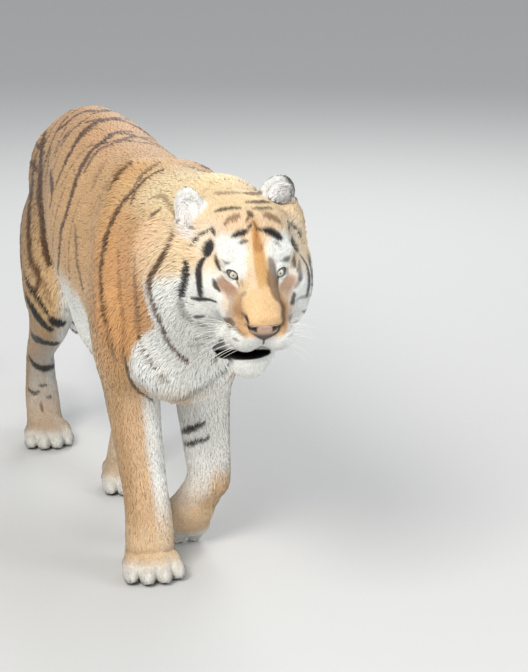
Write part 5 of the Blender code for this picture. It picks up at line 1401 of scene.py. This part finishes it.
def plain_material(name, colour, rough, coat=0.0, bump=0.0, scale=900.0, spread=0.12):
    """One colour with a fine mottle and bump, for leather, horn, whiskers and lids."""
    m = bpy.data.materials.new(name)
    m.use_nodes = True
    t = m.node_tree
    b = t.nodes["Principled BSDF"]
    b.inputs["Roughness"].default_value = rough
    b.inputs["Coat Weight"].default_value = coat
    b.inputs["Coat Roughness"].default_value = 0.15
    co = t.nodes.new("ShaderNodeTexCoord")
    nz = t.nodes.new("ShaderNodeTexNoise")
    nz.inputs["Scale"].default_value = scale
    nz.inputs["Detail"].default_value = 4.0
    ramp = t.nodes.new("ShaderNodeValToRGB")
    ramp.color_ramp.elements[0].position = 0.30
    ramp.color_ramp.elements[1].position = 0.72
    ramp.color_ramp.elements[0].color = tuple(np.clip(np.array(colour) * (1 - spread), 0, 1)) + (1,)
    ramp.color_ramp.elements[1].color = tuple(np.clip(np.array(colour) * (1 + spread), 0, 1)) + (1,)
    links(m, (co.outputs["Object"], nz.inputs["Vector"]), (nz.outputs["Fac"], ramp.inputs["Fac"]), (ramp.outputs["Color"], b.inputs["Base Color"]))
    if bump:
        bm = t.nodes.new("ShaderNodeBump")
        bm.inputs["Strength"].default_value = bump
        bm.inputs["Distance"].default_value = 0.0006
        links(m, (nz.outputs["Fac"], bm.inputs["Height"]), (bm.outputs["Normal"], b.inputs["Normal"]))
    return m


def tinted_material(name, rough, coat=0.0, bump=0.0, scale=1400.0):
    """Colour painted point by point on the mesh, with a fine bump: eyes and nose leather."""
    m = bpy.data.materials.new(name)
    m.use_nodes = True
    t = m.node_tree
    b = t.nodes["Principled BSDF"]
    b.inputs["Roughness"].default_value = rough
    b.inputs["Coat Weight"].default_value = coat
    b.inputs["Coat Roughness"].default_value = 0.03
    a = t.nodes.new("ShaderNodeAttribute")
    a.attribute_name = "tint"
    links(m, (a.outputs["Color"], b.inputs["Base Color"]))
    if bump:
        co = t.nodes.new("ShaderNodeTexCoord")
        nz = t.nodes.new("ShaderNodeTexVoronoi")
        nz.inputs["Scale"].default_value = scale
        bm = t.nodes.new("ShaderNodeBump")
        bm.inputs["Strength"].default_value = bump
        bm.inputs["Distance"].default_value = 0.0005
        links(m, (co.outputs["Object"], nz.inputs["Vector"]), (nz.outputs["Distance"], bm.inputs["Height"]), (bm.outputs["Normal"], b.inputs["Normal"]))
    return m


def smooth_skin(v, t, n, rounds=12):
    """Evens out the fine ridges where masses meet on the trunk and upper legs; face and feet keep every fold."""
    w = step(v[:, 1], -0.74, -0.62) * step(v[:, 2], 0.14, 0.20) * 0.55
    w[v[:, 1] > 0.74] *= 0.5
    e = np.vstack([t[:, [0, 1]], t[:, [1, 2]], t[:, [2, 0]]])
    count = np.bincount(e[:, 0], minlength=len(v)) + np.bincount(e[:, 1], minlength=len(v))
    for _ in range(rounds):
        s = np.zeros_like(v)
        for a in range(3):
            s[:, a] = np.bincount(e[:, 0], v[e[:, 1], a], len(v)) + np.bincount(e[:, 1], v[e[:, 0], a], len(v))
        v = v + (s / np.maximum(count, 1)[:, None] - v) * w[:, None]
    fn = np.cross(v[t[:, 1]] - v[t[:, 0]], v[t[:, 2]] - v[t[:, 0]])
    m = np.zeros_like(v)
    for i in range(3):
        for a in range(3):
            m[:, a] += np.bincount(t[:, i], fn[:, a], len(v))
    m = unit(m)
    if (m * n).sum() < 0:
        m = -m
    k = np.clip(w * 2, 0, 1)[:, None]
    return v, unit(m * k + n * (1 - k))


def tube(points, radii, sides=6, cap=True):
    """Closed tube along points; the last radius may be nearly 0."""
    p = np.array(points, float)
    r = np.broadcast_to(radii, (len(p),))
    d = unit(np.gradient(p, axis=0))
    ref = vec(0, 0, 1) if abs(d[0] @ vec(0, 0, 1)) < 0.9 else vec(1, 0, 0)
    v, f = [], []
    e1 = unit(np.cross(d[0], ref))
    for i in range(len(p)):
        e1 = unit(e1 - (e1 @ d[i]) * d[i])
        e2 = np.cross(d[i], e1)
        for k in range(sides):
            a = 2 * math.pi * k / sides
            v.append(p[i] + r[i] * (math.cos(a) * e1 + math.sin(a) * e2))
    for i in range(len(p) - 1):
        for k in range(sides):
            a, b = i * sides + k, i * sides + (k + 1) % sides
            f += [(a, b, b + sides), (a, b + sides, a + sides)]
    c0, c1 = len(v), len(v) + 1
    v += [p[0], p[-1]]
    for k in range(sides):
        f.append((c0, (k + 1) % sides, k))
        q = (len(p) - 1) * sides
        f.append((c1, q + k, q + (k + 1) % sides))
    return np.array(v), np.array(f)


def joined(parts):
    v, f, n = [], [], 0
    for a, b in parts:
        v.append(a)
        f.append(np.asarray(b) + n)
        n += len(a)
    return np.vstack(v), np.vstack(f)


# ---------------------------------------------------------------- eyes, lids, nose, whiskers
def eye_mesh(s):
    """Ball of the eye, with its pole along the gaze: rings close together over the iris and pupil, and a low cornea."""
    e1, e2, w = eye_frame(s)
    gaze = unit(HEAD_TURN @ vec(-0.12 if s < 0 else 0.04, -1.0, 0.10) * 0.28 + w * 0.72)
    x = unit(np.cross(gaze, vec(0, 0, 1)))
    y = np.cross(x, gaze)
    rings = np.r_[np.linspace(0, 34, 18)[1:], np.linspace(40, 180, 16)[:-1]]
    sides = 48
    v, col = [gaze * (EYE_RADIUS + 0.0008)], [rgb(8, 8, 8)]
    for deg in rings:
        a = math.radians(deg)
        r = EYE_RADIUS + 0.0008 * max(0.0, math.cos(a * 2.2)) if deg < 40 else EYE_RADIUS
        for k in range(sides):
            t = 2 * math.pi * k / sides
            v.append((gaze * math.cos(a) + (x * math.cos(t) + y * math.sin(t)) * math.sin(a)) * r)
            if deg < 6.0:
                c = rgb(10, 10, 10)
            elif deg < 29:
                q = 0.5 + 0.5 * math.sin(t * 23) * math.sin(t * 7 + 1.0)
                c = rgb(222, 218, 200) * (1 - q * 0.35) + rgb(172, 166, 138) * q * 0.35
                c = c * (0.80 + 0.25 * (deg - 7) / 18) if deg < 20 else c * (1.05 - 0.10 * (deg - 20))
            elif deg < 33:
                c = rgb(92, 82, 70)
            else:
                c = rgb(128, 112, 98) if deg < 44 else rgb(140, 118, 104)
            col.append(np.clip(c, 0, 1))
    f = [(0, 1 + (k + 1) % sides, 1 + k) for k in range(sides)]
    for i in range(len(rings) - 1):
        for k in range(sides):
            a, b = 1 + i * sides + k, 1 + i * sides + (k + 1) % sides
            f += [(a, b, b + sides), (a, b + sides, a + sides)]
    v.append(-gaze * EYE_RADIUS)
    col.append(rgb(120, 96, 84))
    last = 1 + (len(rings) - 1) * sides
    f += [(len(v) - 1, last + k, last + (k + 1) % sides) for k in range(sides)]
    v = np.array(v) + EYE_AT[s]
    f = np.array(f)
    a, b, c = v[f[0]]
    if np.cross(b - a, c - a) @ gaze < 0:
        f = f[:, ::-1]
    return v, f, np.array(col)


def lid_path(s, grow, over, points=72):
    """Loop just outside the almond of the lids, on a ball `over` beyond the eye."""
    e1, e2, w = eye_frame(s)
    A, B = EYE_OPEN[0] + grow, EYE_OPEN[1] + grow
    out = []
    for k in range(points):
        t = 2 * math.pi * k / points
        u = A * math.cos(t)
        low = 0.86 if math.sin(t) < 0 else 1.0
        v = B * low * math.copysign(max(1 - (u / A) ** 2, 0) ** 0.75, math.sin(t))
        v += -0.0034 * min(-u / A, 1.3) ** 3 if u < 0 else 0.0
        R = EYE_RADIUS + over
        h2 = max(R * R - u * u - v * v, 1e-8)
        out.append(EYE_AT[s] + u * e1 + v * e2 + w * math.sqrt(h2))
    return np.array(out)


def lid_mesh(s):
    """Dark rim of the lids: a closed ring of oval section, thicker above."""
    c = lid_path(s, 0.0007, 0.0016)
    n = len(c)
    e1, e2, w = eye_frame(s)
    sides = 8
    v, f = [], []
    for i in range(n):
        d = unit(c[(i + 1) % n] - c[i - 1])
        out = unit(c[i] - EYE_AT[s])
        side = unit(np.cross(d, out))
        up = math.sin(2 * math.pi * i / n)
        r1, r2 = 0.0011 + 0.0008 * max(up, 0), 0.0010
        for k in range(sides):
            a = 2 * math.pi * k / sides
            v.append(c[i] + side * r1 * math.cos(a) + out * r2 * math.sin(a))
    for i in range(n):
        for k in range(sides):
            a, b = i * sides + k, i * sides + (k + 1) % sides
            c0, c1 = ((i + 1) % n) * sides + k, ((i + 1) % n) * sides + (k + 1) % sides
            f += [(a, b, c1), (a, c1, c0)]
    v, f = np.array(v), np.array(f)
    vol = np.einsum("ij,ij->i", v[f[:, 0]] - v.mean(0), np.cross(v[f[:, 1]] - v.mean(0), v[f[:, 2]] - v.mean(0))).sum()
    return v, (f if vol > 0 else f[:, ::-1])


def whisker_points(root, way, length, droop, n=9):
    t = np.linspace(0, 1, n)[:, None]
    return root + way * length * t + vec(0, 0, -1) * droop * length * t ** 2


def nose_amount(h):
    """1 well inside the nose leather, 0 outside, for points in head coordinates."""
    x, z = np.abs(h[:, 0]), h[:, 2]
    half = np.interp(z, (-0.0935, -0.089, -0.080, -0.070, -0.0625, -0.0565, -0.054), (0.0, 0.0065, 0.0200, 0.0320, 0.0340, 0.0260, 0.008))
    return step(half - x, -0.0018, 0.0012) * step(-h[:, 1], 0.108, 0.116) * step(z, -0.095, -0.091) * (1 - step(z, -0.0555, -0.0525))


# ---------------------------------------------------------------- build: skin
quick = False
rng = np.random.default_rng(20)
v, q, T, t, n = make_skin(quick)
v, n = smooth_skin(v, t, n)
tree = BVHTree.FromPolygons(v.tolist(), t.tolist())
strokes = all_strokes(tree)
h = to_head(v)
regs = regions(v, n)
way = hair_way(v, n)
tint = marks(v, n, strokes)

PAW_TURN = foot_turn(HANG, (0.10, -1, 0))
PAW_AT = vec(*WRIST_AT) - PAW_TURN @ vec(0, 0.112, 0.045)
paw = (v - PAW_AT) @ PAW_TURN
near_paw = (np.abs(paw[:, 0]) < 0.09) & (paw[:, 1] > -0.11) & (paw[:, 1] < 0.07) & (paw[:, 2] < 0.05)
sole = near_paw * (1 - step(paw[:, 2], 0.006, 0.014)) * step(-(n @ PAW_TURN)[:, 2], 0.1, 0.6)
pads = np.maximum.reduce([(1 - step(np.hypot((paw[:, 0] - x) / a, (paw[:, 1] - y) / b), 0.8, 1.05))
                          for x, y, a, b in ((0, 0.012, 0.036, 0.030), (-0.052, -0.040, 0.014, 0.020), (-0.019, -0.060, 0.014, 0.021),
                                             (0.019, -0.060, 0.014, 0.021), (0.052, -0.040, 0.014, 0.020))]) * sole
under = step(-n[:, 2], 0.5, 0.9) * (1 - step(v[:, 2], 0.006, 0.014))

keep = np.ones(len(v))
leather = nose_amount(h)
gap = np.full(len(v), 1.0)
front = np.nonzero((v[:, 1] < -0.85))[0]
gap[front] = mouth_gap(v[front])
keep[leather > 0.25] = 0
keep[gap < 0.0022] = 0
for s in (-1, 1):
    e1, e2, w = eye_frame(s)
    r = v[front] - EYE_AT[s]
    near = (np.linalg.norm(r, axis=1) < 0.04) & (r @ w > 0)
    keep[front[near & (lids(v[front], s) < 0.0026)]] = 0
keep[v[:, 2] < 0.0035] = 0
keep[pads > 0.3] = 0
keep[(under > 0.5)] = 0
# walls of the nostrils: no tufts, and painted shade near black below
nostril = ((h[:, 1] < -0.095) & (np.abs(h[:, 0]) < 0.032) & (h[:, 2] < -0.052) & (h[:, 2] > -0.082) & (n @ HEAD_TURN[:, 1] > -0.1))
keep[nostril] = 0

skin_tint = tint * 0.88
skin_tint = blend(skin_tint, rgb(58, 44, 40), np.maximum(pads, under * 0.8))
skin_tint = blend(skin_tint, rgb(214, 186, 172), regs["hollow"] * 0.7)
skin_tint = blend(skin_tint, rgb(70, 42, 36), np.clip(leather * 1.5, 0, 1))
# painted shade: the nostril walls near black
skin_tint = blend(skin_tint, rgb(22, 16, 15), nostril * 1.0)
# painted shade: the inside of the mouth's gap near black
inside = (1 - step(gap, -0.001, 0.0018))
skin_tint = blend(skin_tint, rgb(20, 14, 14), inside)

skin_mat = coat_material("skin under the coat", 0.8, 0.5, 420.0, 0.0)
coat_mat = coat_material("coat of hair", 0.62, 0.0, 620.0, 0.12)
quads = np.asarray(q)
pad_tri = np.c_[T, T[:, 2]] if len(T) else np.zeros((0, 4), int)
SHIFT = vec(0, -MIDDLE_Y, 0)
skin = mesh_piece("skin", v + SHIFT, t, n, skin_tint, None, skin_mat)
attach(skin, "root")
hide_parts(*[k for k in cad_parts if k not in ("eye_left", "eye_right", "nose")])

# ---------------------------------------------------------------- build: coat
L, W, U, dens = tuft_size(regs)
if quick:
    dens = dens * 0.35
    W = W * 1.5
i, k3, P, N, D, at = scatter(rng, v, t, n, way, dens, keep)
g = {key: at(val) for key, val in regs.items()}
L, W, U = at(L), at(W), at(U)
D = turned(D, N, rng.normal(0, 0.16, len(P)))
L = L * rng.uniform(0.75, 1.25, len(P))
W = W * rng.uniform(0.8, 1.2, len(P))
U = U * rng.uniform(0.35, 1.05, len(P))
def shown(part):
    return marks(P + D * (L * part)[:, None], N, strokes)


col, end = shown(0.35), shown(0.9)
jit = 1 + rng.normal(0, 0.055, len(P)) + 0.05 * noise(P, 0.012, 11)
warm = rng.normal(0, 0.018, len(P))
jit = np.stack([jit + warm, jit, jit - warm], 1)
col, end = np.clip(col * jit, 0, 1), np.clip(end * jit, 0, 1)
name, uv = unwrap(P, N, g)

is_lock = rng.random(len(P)) < np.clip(g["ruff"] * 0.55 + g["throat"] * 0.35 + g["belly"] * 0.30 + g["hollow"] * 0.9 + g["tail"] * 0.12, 0, 1)
hollow = g["hollow"] > 0.35
if hollow.any():                       # long white hair across the ear
    for name_, (s, ce, re, yaw, roll, root) in EARS.items():
        rot = HEAD_TURN @ turn(yaw * s, 0, roll * s)
        qq = (P - in_head(ce[0] * s, ce[1], ce[2])) @ rot
        me = hollow & ((to_head(P)[:, 0] < 0) == (s < 0))
        w = np.stack([-0.75 * qq[:, 0] / re[0] - 0.25 * s, np.full(len(P), -0.30), 0.62 - 0.75 * qq[:, 2] / re[2]], 1)
        w[:, 0] += 0.22 * rng.normal(size=len(P))
        D[me] = unit((w @ rot.T)[me])
        L[me], W[me], U[me] = rng.uniform(0.009, 0.018, me.sum()), 0.0030, 0.0015
        cc = np.broadcast_to(rgb(246, 243, 240), P.shape).copy()
        if s > 0:                  # the left ear turns away: painted shade greys the hair within, and it is dark along its outer rim
            cc = blend(cc, rgb(150, 146, 148), step(0.8 * qq[:, 0] / re[0] - 0.7 * qq[:, 2] / re[2], 0.0, 0.5) * 0.9)
            cc = blend(cc, rgb(52, 48, 48), step(qq[:, 0] / re[0] + 0.25 * np.abs(qq[:, 2]) / re[2], 0.55, 0.75))
        else:
            cc = blend(cc, rgb(222, 208, 198), step(-qq[:, 2] / re[2], 0.1, 0.7) * 0.7)
        col[me] = end[me] = np.clip(cc[me] * rng.uniform(0.92, 1.04, me.sum())[:, None], 0, 1)
        N[me] = unit(N[me] * 0.3 + HEAD_TURN @ vec(-0.15, -0.85, 0.55))

bins = {}
for key in sorted(set(name.tolist())):
    b = Tufts()
    mine = name == key
    k = mine & ~is_lock
    a = kites(P[k], N[k], D[k], L[k], W[k], U[k], col[k], end[k])
    b.add(a[0], KITE, a[1], a[2], uv[k])
    k = mine & is_lock
    if k.any():
        a = locks(P[k], N[k], D[k], L[k] * 1.15, W[k], U[k], col[k], end[k], 0.10)
        b.add(a[0], LOCK, a[1], a[2], uv[k])
    bins[key] = b

for key, b in bins.items():
    vv, ff = np.vstack(b.v), np.vstack(b.f)
    low = vv[:, 2] < 0.0006
    if low.any():
        vv[low, 2] = 0.0006 + (vv[low, 2] - 0.0006) * 0.05 + 0.0004
    o = mesh_piece(key, vv + SHIFT, ff, np.vstack(b.n), np.vstack(b.c), np.vstack(b.uv), coat_mat)
    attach(o, "root")
    print("coat piece", key, len(ff), "triangles", [round(x, 2) for x in o.dimensions])

# ---------------------------------------------------------------- build: eyes, lids, nose, whiskers
eye_mat = tinted_material("eye", 0.10, 1.0)
for s, node in ((-1, "eye_right"), (1, "eye_left")):
    ev, ef, ec = eye_mesh(s)
    o = mesh_piece(node + "_ball", ev + SHIFT, ef, None, ec, None, eye_mat)
    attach(o, "root")
    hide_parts(node)
lv, lf = joined([lid_mesh(-1), lid_mesh(1)])
o = mesh_piece("lids", lv + SHIFT, lf, None, None, None, plain_material("rims of the lids", rgb(70, 61, 56), 0.38, 0.35, 0.4))
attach(o, "root")

on = leather[t].min(1) > 0.02
nt = t[on]
used = np.unique(nt)
index = np.full(len(v), -1)
index[used] = np.arange(len(used))
nt = index[nt]
lift = (0.0019 * step(leather[used], 0.15, 0.85) - 0.0006)
outer = v[used] + n[used] * lift[:, None]
inner = v[used] - n[used] * 0.0012
edge = np.vstack([nt[:, [0, 1]], nt[:, [1, 2]], nt[:, [2, 0]]])
back = set(map(tuple, edge[:, ::-1].tolist()))
rim = [e for e in map(tuple, edge.tolist()) if e not in back]
m = len(used)
side = [(b_, a_, a_ + m) for a_, b_ in rim] + [(b_, a_ + m, b_ + m) for a_, b_ in rim]
nf = np.vstack([nt, nt[:, ::-1] + m, np.array(side)])
hn = to_head(v[used])
nc = np.broadcast_to(rgb(204, 168, 146), (m, 3)).copy()
# painted shade: the lower part of the leather, where it turns under the bulb, dark brown
nc = blend(nc, rgb(46, 32, 30), step(-hn[:, 2], 0.070, 0.084) * 0.9)
nc = blend(nc, rgb(46, 32, 30), (1 - step(leather[used], 0.3, 0.9)) * 0.7)
# painted shade: the nostril openings on the leather near black
nc = blend(nc, rgb(24, 17, 16), step(np.abs(hn[:, 0]), 0.013, 0.017) * (1 - step(np.abs(hn[:, 2] + 0.065), 0.004, 0.009)))
nc = nc * (1 + 0.14 * noise(hn, 0.0035, 4))[:, None]
o = mesh_piece("nose_leather", np.vstack([outer, inner]) + SHIFT, nf, None, np.clip(np.vstack([nc, nc]), 0, 1), None, tinted_material("nose leather", 0.42, 0.25, 0.8))
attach(o, "root")
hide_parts("nose")

parts = []
for s in (-1, 1):
    for row in range(4):
        for c in range(6 if row < 3 else 4):
            a, b = vec(s * 0.040, -0.114 + 0.002 * row, -0.083 - 0.0095 * row), vec(s * 0.064, -0.074, -0.080 - 0.012 * row)
            root = in_head(*(a + (b - a) * (c + 0.5) / 6))
            hit, nn, _, _ = tree.find_nearest(Vector(tuple(root)))
            root = np.array(hit) - np.array(nn) * 0.002
            back_ = 0.25 + 0.16 * c + rng.normal(0, 0.05)
            d = HEAD_TURN @ unit(vec(s * 0.85, 0.45 * back_ - 0.25 + 0.12 * c, 0.16 - 0.16 * row + rng.normal(0, 0.06)))
            ln = rng.uniform(0.075, 0.125) * (0.75 + 0.07 * c) * (0.72 if s > 0 else 1.0)
            pts = whisker_points(root, d, ln, rng.uniform(0.22, 0.42))
            parts.append(tube(pts, np.linspace(0.00052, 0.00010, len(pts)), 5))
    for c in range(4):                                                    # over the eye
        root = in_head(s * (0.034 + 0.009 * c), 0.012, 0.045)
        hit, nn, _, _ = tree.find_nearest(Vector(tuple(root)))
        root = np.array(hit) - np.array(nn) * 0.002
        d = HEAD_TURN @ unit(vec(s * (0.35 + 0.15 * c), -0.45, 0.75))
        pts = whisker_points(root, d, rng.uniform(0.035, 0.055), 0.35)
        parts.append(tube(pts, np.linspace(0.00036, 0.00008, len(pts)), 5))
wv, wf = joined(parts)
o = mesh_piece("whiskers", wv + SHIFT, wf, None, None, None, plain_material("whiskers", rgb(240, 238, 230), 0.35, 0.2))
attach(o, "root")

# ---------------------------------------------------------------- floor, light, camera
bpy.ops.mesh.primitive_circle_add(vertices=96, radius=34, fill_type="NGON", location=(0, 0, 0))
floor = bpy.context.object
floor.name = "floor"
fm = bpy.data.materials.new("floor")
fm.use_nodes = True
fb = fm.node_tree.nodes["Principled BSDF"]
fb.inputs["Base Color"].default_value = (0.62, 0.62, 0.61, 1)
fb.inputs["Roughness"].default_value = 0.9
floor.data.materials.append(fm)

world = bpy.data.worlds.new("studio")
bpy.context.scene.world = world
world.use_nodes = True
world.node_tree.nodes["Background"].inputs["Color"].default_value = (0.93, 0.96, 1.0, 1)
world.node_tree.nodes["Background"].inputs["Strength"].default_value = 0.55


def area(name, at, to, size, power, colour=(1, 1, 1)):
    d = bpy.data.lights.new(name, "AREA")
    d.shape = "DISK"
    d.size, d.energy, d.color = size, power, colour
    o = bpy.data.objects.new(name, d)
    o.location = at
    o.rotation_mode = "QUATERNION"
    o.rotation_quaternion = (Vector(to) - Vector(at)).to_track_quat("-Z", "Y")
    bpy.context.scene.collection.objects.link(o)


area("key", (-2.6, -3.6, 4.2), (0, -0.4, 0.6), 2.4, 230, (1.0, 0.97, 0.92))
area("fill", (3.6, -3.0, 2.4), (0, -0.4, 0.6), 2.8, 70, (0.92, 0.96, 1.0))
area("rim", (1.8, 3.6, 3.6), (0, 0, 0.7), 2.4, 110)

cam = bpy.data.cameras.new("camera")
co = bpy.data.objects.new("camera", cam)
bpy.context.scene.collection.objects.link(co)
ca, ce_ = -0.279, 0.275
back = Vector((math.sin(ca) * math.cos(ce_), -math.cos(ca) * math.cos(ce_), math.sin(ce_)))
co.location = (-1.18, -5.28 - MIDDLE_Y, 1.98)
co.rotation_mode = "QUATERNION"
co.rotation_quaternion = (-back).to_track_quat("-Z", "Y") @ Quaternion((0, 0, 1), -0.010)
cam.sensor_width = 36
cam.lens = 2210.6 * 36 / 672
cam.clip_end = 200
bpy.context.scene.camera = co
bpy.context.scene.view_settings.view_transform = "Standard"
